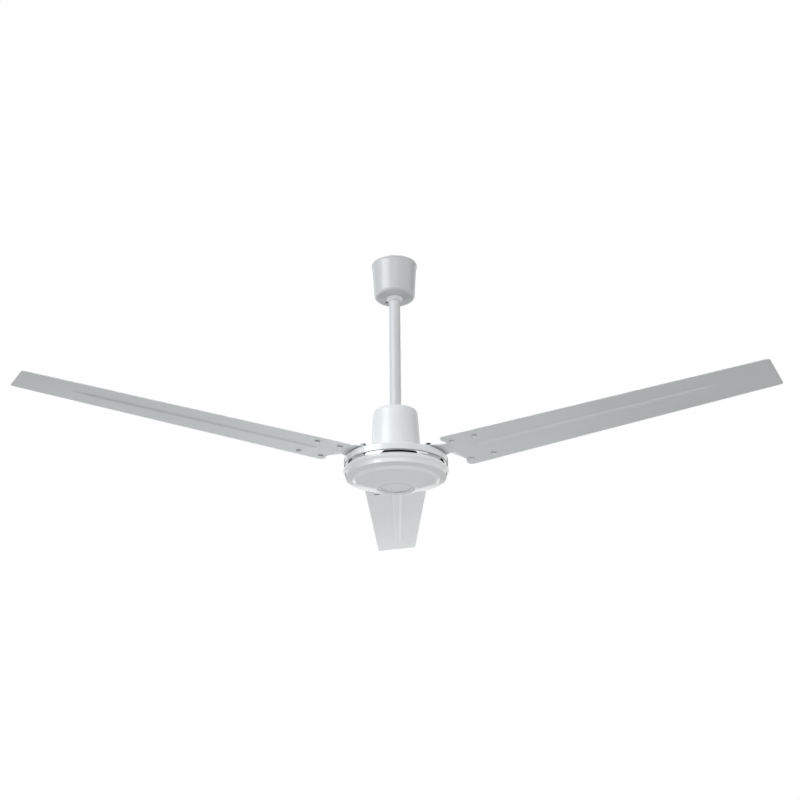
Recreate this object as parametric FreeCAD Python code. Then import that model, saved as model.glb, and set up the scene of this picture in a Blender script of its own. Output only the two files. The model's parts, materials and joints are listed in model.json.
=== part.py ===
import FreeCAD, Part
import math
import os

# Three-blade ceiling fan with a down rod and an outer-rotor motor, in millimetres.
# Origin: centre of the ceiling bracket's top face. +Z is up, so the fan hangs below zero.
# +Y points away from the viewer and +X to the right.

Vector = FreeCAD.Vector
Rotation = FreeCAD.Rotation
Placement = FreeCAD.Placement
X_AXIS = Vector(1, 0, 0)
Y_AXIS = Vector(0, 1, 0)
Z_AXIS = Vector(0, 0, 1)

# Whole fan
sweep_d = 1422.0              # circle that the blade tips sweep
blade_drop = 436.0            # ceiling face down to the blade plane, on the axis
blade_count = 3
rest_azimuth = 90.0           # where the first blade points, in degrees

# Fits
fixed_fit = 0.03              # radial gap between round pieces that are fixed together
running_fit = 0.06            # radial gap between round pieces that turn or slide
side_gap = 0.3                # gap beside a moving piece

# Ceiling bracket
plate_x = 40.0
plate_y = 64.0
plate_t = 3.0
plate_round = 6.0
ceiling_screw_pitch = 48.0
ceiling_screw_hole_d = 5.5
ear_t = 3.0
ear_w = 24.0
roller_headroom = 10.5        # bracket plate down to the roller's flange

# Hexagon bolts: hanger and shackle alike, coupling bolt smaller
hanger_bolt_d = 8.0
hanger_hex = 13.0
hanger_head_h = 5.5
hanger_nut_h = 6.5
coupling_bolt_d = 6.0
coupling_hex = 10.0
coupling_head_h = 4.0
coupling_nut_h = 5.0
hex_chamfer = 0.8
split_pin_d = 2.0
split_pin_spare = 5.0         # pin length past the bolt on each side
bolt_end = 6.0                # bolt thread past the nut

# Rubber roller and shackle
roller_l = 26.0
roller_flange_h = 2.5
roller_flange_t = 4.0
strap_t = 3.0
rod_headroom = 3.0            # roller down to the rod's top end
rod_end_margin = 12.0         # rod's end to its cross bolt, top end

# Down rod
rod_d = 22.0
rod_wall = 2.0

# Canopy
canopy_gap = 4.0              # ceiling to the canopy's rim
canopy_wall = 1.6
canopy_side_room = 5.26       # bracket's corner to the canopy's wall
canopy_bottom_room = 8.1      # shackle's end to the canopy's bush
canopy_lip = 1.4
canopy_lip_h = 3.0
canopy_waist_in = 2.2         # drawn in at half height
canopy_foot_in = 4.0          # drawn in at the bottom corner
canopy_corner = 7.5
canopy_slot_l = 10.0
canopy_slot_w = 4.5
canopy_slot_azimuth = 135.0
bush_sleeve_t = 2.6
bush_flange_w = 2.8
bush_collar_h = 5.2
bush_tail_h = 7.6
bush_shoulder_h = 2.6
bush_tail_t = 1.5

# Coupling cover
cover_wall = 1.6
cover_top_room = 25.2         # shaft coupler up to the cover's top
cover_side_room = 6.4
cover_taper = 5.4
cover_corner = 8.0
cover_gap = 3.4               # cover's bottom edge above the motor's top
grip_t = 4.0
grip_h = 10.0
grip_socket_t = 2.4

# Shaft coupler
coupler_wall = 5.0
coupler_flange_w = 6.0
coupler_flange_t = 4.0
coupler_gap = 2.0             # flange above the motor's top
shaft_engage = 20.0
lead_window_h = 7.0
rod_engage = 42.0
coupling_bolt_margin = 21.0   # rod's lower end to its cross bolt
rod_grub_margin = 9.0         # coupler's top to the rod's grub screw
shaft_grub_rise = 8.0         # coupler's flange to the shaft's grub screws
grub_d = 5.0

# Wiring tray, capacitor and terminal block
tray_t = 1.5
tray_margin = 0.5
capacitor_x = 16.0
capacitor_y = 34.0
capacitor_z = 32.0
capacitor_round = 2.5
capacitor_gap = 2.5           # beside the coupler
clamp_w = 8.0
clamp_t = 1.2
clamp_foot = 6.0
small_screw_d = 3.0
small_head_d = 5.6
small_head_h = 2.0
terminal_x = 12.0
terminal_y = 30.0
terminal_z = 13.0
terminal_gap = 6.0
terminal_pitch = 8.5
terminal_round = 1.0

# Motor leads
lead_d = 1.6
lead_step = 2.4
lead_bend = 3.0
lead_count = 3

# Motor shaft and bearings
bearing_bore = 15.0
bearing_od = 35.0
bearing_w = 11.0
bearing_ball_d = 6.0
bearing_balls = 8
bearing_race_t = 2.7
shaft_step = 2.5              # shoulder beside each bearing
shaft_lead_bore = 9.0
shaft_end = 3.0               # shaft below the lower bearing
circlip_t = 1.0
circlip_w = 2.2
circlip_depth = 0.8

# Stator and rotor
stator_r = 71.6
stack_h = 18.0
stator_gap = 3.5              # upper bearing's hub to the stator
lead_lane = 3.5               # stator to the lower bearing's hub
tooth_count = 12
tooth_w = 10.0
tooth_tip_h = 5.6
slot_mouth = 4.0
slot_floor_r = 28.0
coil_t = 4.0
coil_in_r = 36.0
coil_gap = 0.3
coil_end_gap = 2.0            # coil to the tooth's tip
air_gap = 0.4
rotor_core_t = 12.0
bar_d = 4.8
bar_count = 24
end_ring_w = 7.0
end_ring_h = 3.0
end_ring_in = 1.0             # end ring's bore outside the core's bore

# Motor covers
casting_t = 2.5
rim_rise = 12.0               # rim's top above the blade plane
rim_h = 13.2                  # rim's top down to the bright band
rim_round = 2.0
rim_proud = 1.5               # rim outside the band
crown_rise = 3.0
crown_w = 24.5                # crown outside the bearing hub
seat_w = 31.5                 # flat seat for the arms, inside the rim's round
hub_t = 4.0
shaft_hole_gap = 2.0
band_h = 8.8
band_t = 1.0
ring_proud = 2.4              # lower ring outside the band
ring_round = 1.2
ring_straight = 1.4
ring_roll_h = 8.2             # rolled bead of the lower ring, down to the skirt
ring_in = 4.0                 # skirt inside the bead
skirt_room = 5.2              # rotor core down to the bottom edge
face_w = 13.0                 # sloped face inside the bottom edge
face_fall = 3.0
rib_w = 7.4
rib_fall = 4.4
core_seat_t = 3.0
core_shelf_w = 3.0
screw_lane = 6.5
housing_screw_d = 4.0
housing_boss_d = 8.4
housing_head_d = 7.6
housing_head_h = 2.6
housing_screw_bite = 8.0
screw_spread = 25.0           # each side of the middle between two arms, in degrees
end_gap = 1.3                 # shaft's end above the bottom cover
badge_r = 28.3
badge_t = 1.5
badge_sink = 3.0
badge_side_gap = 0.3
badge_draft = 0.7
boss_w = 7.7
boss_slope = 1.5

# Blade arms
arm_t = 1.6
arm_pad_rise = 2.0            # seat on the motor's top
arm_pad_inset = 8.0           # seat ends inside the rim
arm_bolt_d = 6.0
arm_bolt_hex = 10.0
arm_bolt_head_h = 4.6
arm_bolt_bite = 8.0
arm_boss_d = 10.4
arm_bolt_outset = 1.0         # bolt circle outside the rotor core
arm_bolt_spread = 15.0        # each side of the arm, in degrees
lock_washer_t = 1.6
lock_washer_w = 2.4
arm_flange_margin = 8.0
arm_flange_depth = 16.0
arm_neck_w = 49.0             # beside the motor
arm_neck_end_w = 66.0         # at the blade
arm_neck_out = 5.5            # neck starts outside the rim
arm_shoulder = 7.0            # neck ends inside the blade's root
arm_pad_side = 14.0           # pad outside the rivets
arm_pad_end = 8.0
arm_pad_chamfer = 8.4
arm_pad_rake = 3.0
arm_bead_w = 16.0
arm_bead_h = 1.8

# Blades
blade_t = 1.0
blade_root_w = 127.5
blade_tip_w = 91.4
blade_root_gap = 36.5         # blade's root outside the motor's rim
blade_root_round = 10.0
blade_tip_round = 5.0
blade_pitch = 5.8
blade_coning = 2.54
rivet_d = 4.0
rivet_head_d = 10.0
rivet_head_h = 3.2
rivet_tail_h = 1.5
rivet_root_row = 5.0          # first row outside the root
rivet_row_step = 46.0
rivet_edge = 23.75            # blade's edge at the root to the rivets
blade_rib_w = 18.0
blade_rib_tail_w = 7.0
blade_rib_h = 1.4
blade_rib_tail_h = 0.7
blade_rib_tip_w = 2.4
blade_rib_tip_h = 0.1
blade_rib_start = 33.0        # outside the root
blade_rib_end = 121.0         # inside the tip
blade_rib_fade = 30.0
blade_rib_tread = 0.6         # flat bottom as a share of the rib's width

# Radii worked out from the inside to the outside
rod_r = rod_d / 2
shackle_in_r = rod_r + fixed_fit
roller_r = shackle_in_r - running_fit
roller_flange_r = roller_r + roller_flange_h
strap_w = roller_l - 2 * roller_flange_t - 2 * side_gap
ear_in = roller_l / 2 + side_gap
ear_out = ear_in + ear_t
canopy_neck_r = math.hypot(plate_x / 2, plate_y / 2) + canopy_side_room + canopy_wall
canopy_waist_r = canopy_neck_r - canopy_waist_in
canopy_foot_r = canopy_neck_r - canopy_foot_in
slide_r = rod_r + running_fit
bush_sleeve_r = slide_r + bush_sleeve_t
bush_flange_r = bush_sleeve_r + bush_flange_w
canopy_hole_r = bush_sleeve_r + fixed_fit
coupler_bore_r = rod_r + fixed_fit
coupler_r = coupler_bore_r + coupler_wall
coupler_flange_r = coupler_r + coupler_flange_w
capacitor_in = coupler_r + capacitor_gap
capacitor_out = capacitor_in + capacitor_x
clamp_x = (capacitor_in + capacitor_out) / 2
clamp_in = capacitor_y / 2 + side_gap
clamp_out = clamp_in + clamp_t
clamp_foot_y = clamp_out + clamp_foot
tray_reach = max(
    math.hypot(capacitor_out, capacitor_y / 2), math.hypot(clamp_x + clamp_w / 2, clamp_foot_y))
tray_r = tray_reach + tray_margin
cover_foot_r = tray_r + cover_side_room + cover_wall
cover_top_r = cover_foot_r - cover_taper
grip_r = slide_r + grip_t
journal_r = bearing_bore / 2
shaft_r = journal_r + shaft_step
bearing_r = bearing_od / 2
bearing_seat_r = bearing_r + fixed_fit
bearing_pitch_r = (journal_r + bearing_r) / 2
hub_r = bearing_seat_r + hub_t
shaft_hole_r = journal_r + shaft_hole_gap
core_in_r = stator_r + air_gap
core_r = core_in_r + rotor_core_t
core_seat_r = core_r + fixed_fit
core_wall_r = core_seat_r + core_seat_t
housing_in_r = core_wall_r + screw_lane
band_seat_r = housing_in_r + casting_t
band_r = band_seat_r + fixed_fit + band_t
rim_r = band_r + rim_proud
ring_r = band_r + ring_proud
edge_r = ring_r - ring_in
rib_r = edge_r - face_w
rib_in_r = rib_r - rib_w
recess_r = badge_r + badge_side_gap
boss_r = recess_r + badge_draft + boss_w
crown_r = hub_r + crown_w
seat_in_r = rim_r - rim_round - seat_w
screw_circle_r = (core_wall_r + housing_in_r) / 2
arm_bolt_r = core_r + arm_bolt_outset
blade_root_r = rim_r + blade_root_gap
tip_r = sweep_d / 2

# Levels of the hanger, from the ceiling down
hanger_bolt_z = -plate_t - roller_headroom - roller_flange_r
rod_top_z = hanger_bolt_z - roller_flange_r - rod_headroom
shackle_bolt_z = rod_top_z - rod_end_margin
shackle_end_z = shackle_bolt_z - strap_w / 2
bush_top_z = shackle_end_z - canopy_bottom_room
canopy_floor_z = bush_top_z - bush_collar_h - canopy_wall
canopy_rim_z = -canopy_gap

# Levels of the motor, from its top down
blade_z = -blade_drop
rim_z = blade_z + rim_rise
motor_top_z = rim_z + crown_rise
rim_under_z = rim_z - casting_t
band_top_z = rim_z - rim_h
band_bottom_z = band_top_z - band_h
joint_z = (band_top_z + band_bottom_z) / 2
upper_bearing_z = motor_top_z - casting_t - bearing_w
stator_top_z = upper_bearing_z - stator_gap
stator_bottom_z = stator_top_z - stack_h
lower_bearing_top_z = stator_bottom_z - lead_lane
lower_bearing_z = lower_bearing_top_z - bearing_w
shaft_bottom_z = lower_bearing_z - shaft_end
floor_z = shaft_bottom_z - end_gap
recess_z = floor_z - casting_t
badge_face_z = recess_z - badge_t
boss_z = badge_face_z - badge_sink
edge_z = stator_bottom_z - skirt_room
rib_z = edge_z - face_fall
rib_in_z = rib_z - rib_fall
dish_z = boss_z + boss_slope
lead_lane_z = stator_bottom_z - lead_lane / 2

# Levels above the motor, from its top up
cover_bottom_z = motor_top_z + cover_gap
coupler_bottom_z = motor_top_z + coupler_gap
coupler_flange_z = coupler_bottom_z + coupler_flange_t
tray_z = coupler_flange_z + tray_t
shaft_top_z = coupler_bottom_z + shaft_engage
rod_bottom_z = shaft_top_z + lead_window_h
coupler_top_z = rod_bottom_z + rod_engage
coupling_bolt_z = rod_bottom_z + coupling_bolt_margin
rod_grub_z = coupler_top_z - rod_grub_margin
shaft_grub_z = tray_z + shaft_grub_rise
cover_top_z = coupler_top_z + cover_top_room

# Arm and blade stations along the radius
arm_seat_z = rim_z + arm_pad_rise
arm_bolt_x = arm_bolt_r * math.cos(math.radians(arm_bolt_spread))
arm_bolt_y = arm_bolt_r * math.sin(math.radians(arm_bolt_spread))
arm_flange_y = arm_bolt_y + arm_flange_margin
arm_flange_x = arm_bolt_x - arm_flange_depth
arm_neck_x = rim_r + arm_neck_out
arm_pad_x = blade_root_r - arm_shoulder
rivet_x = (blade_root_r + rivet_root_row, blade_root_r + rivet_root_row + rivet_row_step)
rivet_y = blade_root_w / 2 - rivet_edge
arm_pad_y = rivet_y + arm_pad_side
arm_end_x = rivet_x[1] + arm_pad_end
blade_azimuths = [rest_azimuth + 360.0 / blade_count * turn for turn in range(blade_count)]
blade_tilt = Rotation(Y_AXIS, -blade_coning) * Rotation(X_AXIS, -blade_pitch)
blade_frame = Placement(Vector(0, 0, blade_z - blade_t), blade_tilt)

os.makedirs("parts", exist_ok=True)


def save(node, *solids):
    """Write one node: a single solid, or a group of separate ones."""
    shape = solids[0] if len(solids) == 1 else Part.makeCompound(list(solids))
    volume = sum(solid.Volume for solid in shape.Solids)
    print(f"{node}: {len(shape.Solids)} solids, {volume / 1000:.2f} cm3, valid {shape.isValid()}")
    shape.exportStep(f"parts/{node}.step")


def polar(centre, radius, degrees):
    """Point of a circle in a flat outline."""
    angle = math.radians(degrees)
    return (centre[0] + radius * math.cos(angle), centre[1] + radius * math.sin(angle))


def outline(steps, to_space):
    """Closed wire; a step is a point, or a pair: a point on an arc and the arc's end."""
    edges = []
    here = to_space(*steps[0])
    for step in steps[1:] + steps[:1]:
        if isinstance(step[0], tuple):
            end = to_space(*step[1])
            edges.append(Part.Arc(here, to_space(*step[0]), end).toShape())
        else:
            end = to_space(*step)
            edges.append(Part.makeLine(here, end))
        here = end
    return Part.Wire(edges)


def revolved(*steps):
    """Solid turned about Z from an outline of (radius, z)."""
    wire = outline(steps, lambda radius, z: Vector(radius, 0, z))
    return Part.Face(wire).revolve(Vector(0, 0, 0), Z_AXIS, 360)


def plate(steps, low, high):
    """Flat plate from an outline of (x, y), between two heights."""
    wire = outline(steps, lambda x, y: Vector(x, y, low))
    return Part.Face(wire).extrude(Vector(0, 0, high - low))


def block(x_low, x_high, y_low, y_high, z_low, z_high):
    return Part.makeBox(x_high - x_low, y_high - y_low, z_high - z_low, Vector(x_low, y_low, z_low))


def disc(radius, low, high, x=0.0, y=0.0):
    return Part.makeCylinder(radius, high - low, Vector(x, y, low))


def ring(outer, inner, low, high, x=0.0, y=0.0):
    return disc(outer, low, high, x, y).cut(disc(inner, low, high, x, y))


def bar(radius, start, end):
    """Round bar between two points."""
    return Part.makeCylinder(radius, start.distanceToPoint(end), start, end - start)


def moved(shape, origin, z_direction=Z_AXIS):
    """Copy whose own Z points along a direction, at a place."""
    copy = shape.copy()
    copy.Placement = Placement(origin, Rotation(Z_AXIS, z_direction)) * shape.Placement
    return copy


def turned(shape, degrees):
    """Copy turned about the fan's axis."""
    copy = shape.copy()
    copy.rotate(Vector(0, 0, 0), Z_AXIS, degrees)
    return copy


def upright_edges(shape):
    """Straight edges that run along Z."""
    edges = []
    for edge in shape.Edges:
        run = edge.Vertexes[-1].Point - edge.Vertexes[0].Point
        if math.hypot(run.x, run.y) < 1e-6 < abs(run.z):
            edges.append(edge)
    return edges


def hexagon(across_flats, height):
    """Hexagonal prism on z = 0 with its top corners turned off."""
    corner_r = across_flats / math.sqrt(3)
    corners = tuple(polar((0, 0), corner_r, 60 * turn) for turn in range(6))
    turned_off = revolved(
        (0, 0), (corner_r, 0), (corner_r, height - hex_chamfer),
        (corner_r - hex_chamfer * math.sqrt(3), height), (0, height),
    )
    return plate(corners, 0, height).common(turned_off)


def hex_bolt(diameter, across_flats, head_h, length):
    """Bolt whose head stands on z = 0 and whose shank points down."""
    return hexagon(across_flats, head_h).fuse(disc(diameter / 2, -length, 0)).removeSplitter()


def hex_nut(diameter, across_flats, height):
    return hexagon(across_flats, height).cut(disc(diameter / 2 + fixed_fit, 0, height))


def dome_middle(half_width, low, rise):
    """Middle of the arc of a dome, from its edge at a height to its top on the axis."""
    radius = (half_width ** 2 + rise ** 2) / (2 * rise)
    half_angle = math.degrees(math.asin(half_width / radius)) / 2
    return polar((0, low + rise - radius), radius, 90 - half_angle)


def round_screw(diameter, head_d, head_h, length):
    """Screw with a low domed head on z = 0 and its shank pointing down."""
    head_r = head_d / 2
    edge_h = head_h / 3
    dome_h = head_h - edge_h
    head = revolved(
        (0, 0), (head_r, 0), (head_r, edge_h), (dome_middle(head_r, edge_h, dome_h), (0, head_h)))
    return head.fuse(disc(diameter / 2, -length, 0)).removeSplitter()


def split_pin(bolt_d):
    """Split pin along Z through a bolt, with its eye on top."""
    reach = bolt_d / 2 + split_pin_spare
    eye_r = split_pin_d
    shank = disc(split_pin_d / 2, -reach, reach)
    eye = Part.makeTorus(eye_r, split_pin_d / 2, Vector(0, 0, reach + eye_r), X_AXIS)
    return shank.fuse(eye).removeSplitter()


def cross_bolt(name, diameter, across_flats, head_h, nut_h, half_grip, centre, direction):
    """Bolt, nut and split pin through a joint; the head is on the side the direction leaves from."""
    length = 2 * half_grip + nut_h + bolt_end
    pin_place = centre + direction * (half_grip + nut_h + bolt_end / 2)
    pin_hole = disc(split_pin_d / 2 + fixed_fit, -diameter, diameter)
    bolt = hex_bolt(diameter, across_flats, head_h, length)
    bolt = moved(bolt, centre - direction * half_grip, -direction)
    save(f"{name}_bolt", bolt.cut(moved(pin_hole, pin_place)))
    nut = hex_nut(diameter, across_flats, nut_h)
    save(f"{name}_nut", moved(nut, centre + direction * half_grip, direction))
    save(f"{name}_split_pin", moved(split_pin(diameter), pin_place))


def tube_along(points, radius, bend):
    """Tube along straight runs joined by tangent arcs."""
    edges = []
    here = points[0]
    for before, corner, after in zip(points, points[1:], points[2:]):
        back = (before - corner).normalize()
        ahead = (after - corner).normalize()
        half = back.getAngle(ahead) / 2
        reach = bend / math.tan(half)
        start = corner + back * reach
        end = corner + ahead * reach
        bisector = (back + ahead).normalize()
        middle = corner + bisector * (bend / math.sin(half) - bend)
        edges.append(Part.makeLine(here, start))
        edges.append(Part.Arc(start, middle, end).toShape())
        here = end
    edges.append(Part.makeLine(here, points[-1]))
    section = Part.Wire(Part.makeCircle(radius, points[0], points[1] - points[0]))
    return Part.Wire(edges).makePipeShell([section], True, False)


def make_hanger():
    """Ceiling bracket, hanger bolt, rubber roller and the shackle that hangs on it."""
    base = block(-plate_x / 2, plate_x / 2, -plate_y / 2, plate_y / 2, -plate_t, 0)
    bracket = base.makeFillet(plate_round, upright_edges(base))
    hanger_hole_r = hanger_bolt_d / 2 + fixed_fit
    for side in (-1, 1):
        x_low = min(side * ear_in, side * ear_out)
        x_high = max(side * ear_in, side * ear_out)
        ear = block(x_low, x_high, -ear_w / 2, ear_w / 2, hanger_bolt_z, -plate_t)
        nose = bar(ear_w / 2, Vector(x_low, 0, hanger_bolt_z), Vector(x_high, 0, hanger_bolt_z))
        bracket = bracket.fuse(ear).fuse(nose)
        screw_y = side * ceiling_screw_pitch / 2
        bracket = bracket.cut(disc(ceiling_screw_hole_d / 2, -plate_t, 0, 0, screw_y))
    bolt_axis = bar(hanger_hole_r, Vector(-ear_out, 0, hanger_bolt_z), Vector(ear_out, 0, hanger_bolt_z))
    save("ceiling_bracket", bracket.cut(bolt_axis).removeSplitter())

    hanger_centre = Vector(0, 0, hanger_bolt_z)
    hanger_sizes = (hanger_bolt_d, hanger_hex, hanger_head_h, hanger_nut_h)
    cross_bolt("hanger", *hanger_sizes, ear_out, hanger_centre, X_AXIS)

    half_roller = roller_l / 2
    half_groove = half_roller - roller_flange_t
    roller = revolved(
        (hanger_hole_r, -half_roller), (roller_flange_r, -half_roller), (roller_flange_r, -half_groove),
        (roller_r, -half_groove), (roller_r, half_groove), (roller_flange_r, half_groove),
        (roller_flange_r, half_roller), (hanger_hole_r, half_roller),
    )
    save("hanger_roller", moved(roller, hanger_centre, X_AXIS))

    strap_r = shackle_in_r + strap_t
    west = Vector(-strap_w / 2, 0, hanger_bolt_z)
    east = Vector(strap_w / 2, 0, hanger_bolt_z)
    upper_half = block(-strap_w, strap_w, -2 * strap_r, 2 * strap_r, hanger_bolt_z, 0)
    shackle = bar(strap_r, west, east).cut(bar(shackle_in_r, west, east)).common(upper_half)
    for side in (-1, 1):
        y_low = min(side * shackle_in_r, side * strap_r)
        y_high = max(side * shackle_in_r, side * strap_r)
        leg = block(-strap_w / 2, strap_w / 2, y_low, y_high, shackle_bolt_z, hanger_bolt_z)
        nose = bar(strap_w / 2, Vector(0, y_low, shackle_bolt_z), Vector(0, y_high, shackle_bolt_z))
        shackle = shackle.fuse(leg).fuse(nose)
    hole = cross_hole(hanger_bolt_d, strap_r, shackle_bolt_z)
    save("shackle", shackle.cut(hole).removeSplitter())
    shackle_centre = Vector(0, 0, shackle_bolt_z)
    cross_bolt("shackle", *hanger_sizes, strap_r, shackle_centre, Y_AXIS)


def cross_hole(bolt_d, reach, z):
    """Clearance hole along Y, right through a round piece."""
    return bar(bolt_d / 2 + fixed_fit, Vector(0, -reach, z), Vector(0, reach, z))


def make_down_rod():
    tube = ring(rod_r, rod_r - rod_wall, rod_bottom_z, rod_top_z)
    tube = tube.cut(cross_hole(hanger_bolt_d, rod_d, shackle_bolt_z))
    save("down_rod", tube.cut(cross_hole(coupling_bolt_d, rod_d, coupling_bolt_z)))


def make_canopy():
    """Flared cup under the ceiling, and the bush that lets it slide on the rod."""
    lip_z = canopy_rim_z - canopy_lip_h
    corner_z = canopy_floor_z + canopy_corner
    middle_z = (lip_z + corner_z) / 2
    lip_r = canopy_neck_r + canopy_lip
    corner = (canopy_foot_r - canopy_corner, corner_z)
    inner_corner_r = canopy_corner - canopy_wall
    canopy = revolved(
        (canopy_neck_r - canopy_wall, canopy_rim_z), (lip_r, canopy_rim_z), (lip_r, lip_z),
        (canopy_neck_r, lip_z),
        ((canopy_waist_r, middle_z), (canopy_foot_r, corner_z)),
        (polar(corner, canopy_corner, -45), (corner[0], canopy_floor_z)),
        (canopy_hole_r, canopy_floor_z), (canopy_hole_r, canopy_floor_z + canopy_wall),
        (corner[0], canopy_floor_z + canopy_wall),
        (polar(corner, inner_corner_r, -45), (canopy_foot_r - canopy_wall, corner_z)),
        ((canopy_waist_r - canopy_wall, middle_z), (canopy_neck_r - canopy_wall, lip_z)),
    )
    slot_start = bush_flange_r + side_gap
    slot = block(
        slot_start, slot_start + canopy_slot_l, -canopy_slot_w / 2, canopy_slot_w / 2,
        canopy_floor_z - canopy_wall, canopy_floor_z + 2 * canopy_wall,
    )
    save("canopy", canopy.cut(turned(slot, canopy_slot_azimuth)))

    sill_z = canopy_floor_z + canopy_wall
    shoulder_z = canopy_floor_z - bush_shoulder_h
    tail_z = canopy_floor_z - bush_tail_h
    save("canopy_bush", revolved(
        (slide_r, tail_z), (slide_r + bush_tail_t, tail_z), (bush_flange_r - bush_tail_t / 2, shoulder_z),
        (bush_flange_r, canopy_floor_z), (bush_sleeve_r, canopy_floor_z), (bush_sleeve_r, sill_z),
        (bush_flange_r, sill_z), (bush_flange_r, bush_top_z), (slide_r, bush_top_z),
    ))


def make_coupling_cover():
    """Drawn cup over the coupler, held on the rod by a rubber ring."""
    corner_z = cover_top_z - cover_corner
    corner = (cover_top_r - cover_corner, corner_z)
    under_z = cover_top_z - cover_wall
    socket_r = grip_r + fixed_fit
    socket_out_r = socket_r + grip_socket_t
    socket_z = under_z - grip_h
    save("coupling_cover", revolved(
        (slide_r + side_gap, cover_top_z), (corner[0], cover_top_z),
        (polar(corner, cover_corner, 45), (cover_top_r, corner_z)),
        (cover_foot_r, cover_bottom_z), (cover_foot_r - cover_wall, cover_bottom_z),
        (cover_top_r - cover_wall, corner_z),
        (polar(corner, cover_corner - cover_wall, 45), (corner[0], under_z)),
        (socket_out_r, under_z), (socket_out_r, socket_z), (socket_r, socket_z),
        (socket_r, under_z), (slide_r + side_gap, under_z),
    ))
    save("cover_grip_ring", ring(grip_r, slide_r, socket_z, under_z))


def make_coupler():
    """Socket that joins the rod to the motor's shaft, with its bolt and grub screws."""
    coupler = revolved(
        (journal_r + fixed_fit, coupler_bottom_z), (coupler_flange_r, coupler_bottom_z),
        (coupler_flange_r, coupler_flange_z), (coupler_r, coupler_flange_z), (coupler_r, coupler_top_z),
        (coupler_bore_r, coupler_top_z), (coupler_bore_r, rod_bottom_z), (rod_r - rod_wall, rod_bottom_z),
        (rod_r - rod_wall, shaft_top_z), (journal_r + fixed_fit, shaft_top_z),
    )
    lead_room = (terminal_pitch + lead_d) * (lead_count - 1) / 2
    window = block(-coupler_flange_r, 0, -lead_room, lead_room, shaft_top_z, rod_bottom_z)
    coupler = coupler.cut(window).cut(cross_hole(coupling_bolt_d, coupler_flange_r, coupling_bolt_z))
    grub_hole_r = grub_d / 2 + fixed_fit
    rod_axis = Vector(0, 0, rod_grub_z)
    coupler = coupler.cut(bar(grub_hole_r, rod_axis, rod_axis + X_AXIS * coupler_flange_r))
    rod_grub_tip = rod_axis + X_AXIS * (rod_r + fixed_fit)
    save("rod_grub_screw", bar(grub_d / 2, rod_grub_tip, rod_axis + X_AXIS * coupler_r))
    shaft_axis = Vector(0, 0, shaft_grub_z)
    shaft_grubs = []
    for side in (-1, 1):
        outward = Y_AXIS * side
        coupler = coupler.cut(bar(grub_hole_r, shaft_axis, shaft_axis + outward * coupler_flange_r))
        tip = shaft_axis + outward * (journal_r + fixed_fit)
        shaft_grubs.append(bar(grub_d / 2, tip, shaft_axis + outward * coupler_r))
    save("shaft_grub_screws", *shaft_grubs)
    for place in tray_screw_places():
        screw_hole = disc(small_screw_d / 2 + fixed_fit, coupler_bottom_z, coupler_flange_z, *place)
        coupler = coupler.cut(screw_hole)
    save("shaft_coupler", coupler)
    centre = Vector(0, 0, coupling_bolt_z)
    cross_bolt(
        "coupling", coupling_bolt_d, coupling_hex, coupling_head_h, coupling_nut_h, coupler_r, centre, Y_AXIS)


def tray_screw_places():
    screw_r = (coupler_r + coupler_flange_r) / 2
    return [(0, -screw_r), (0, screw_r)]


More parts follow.
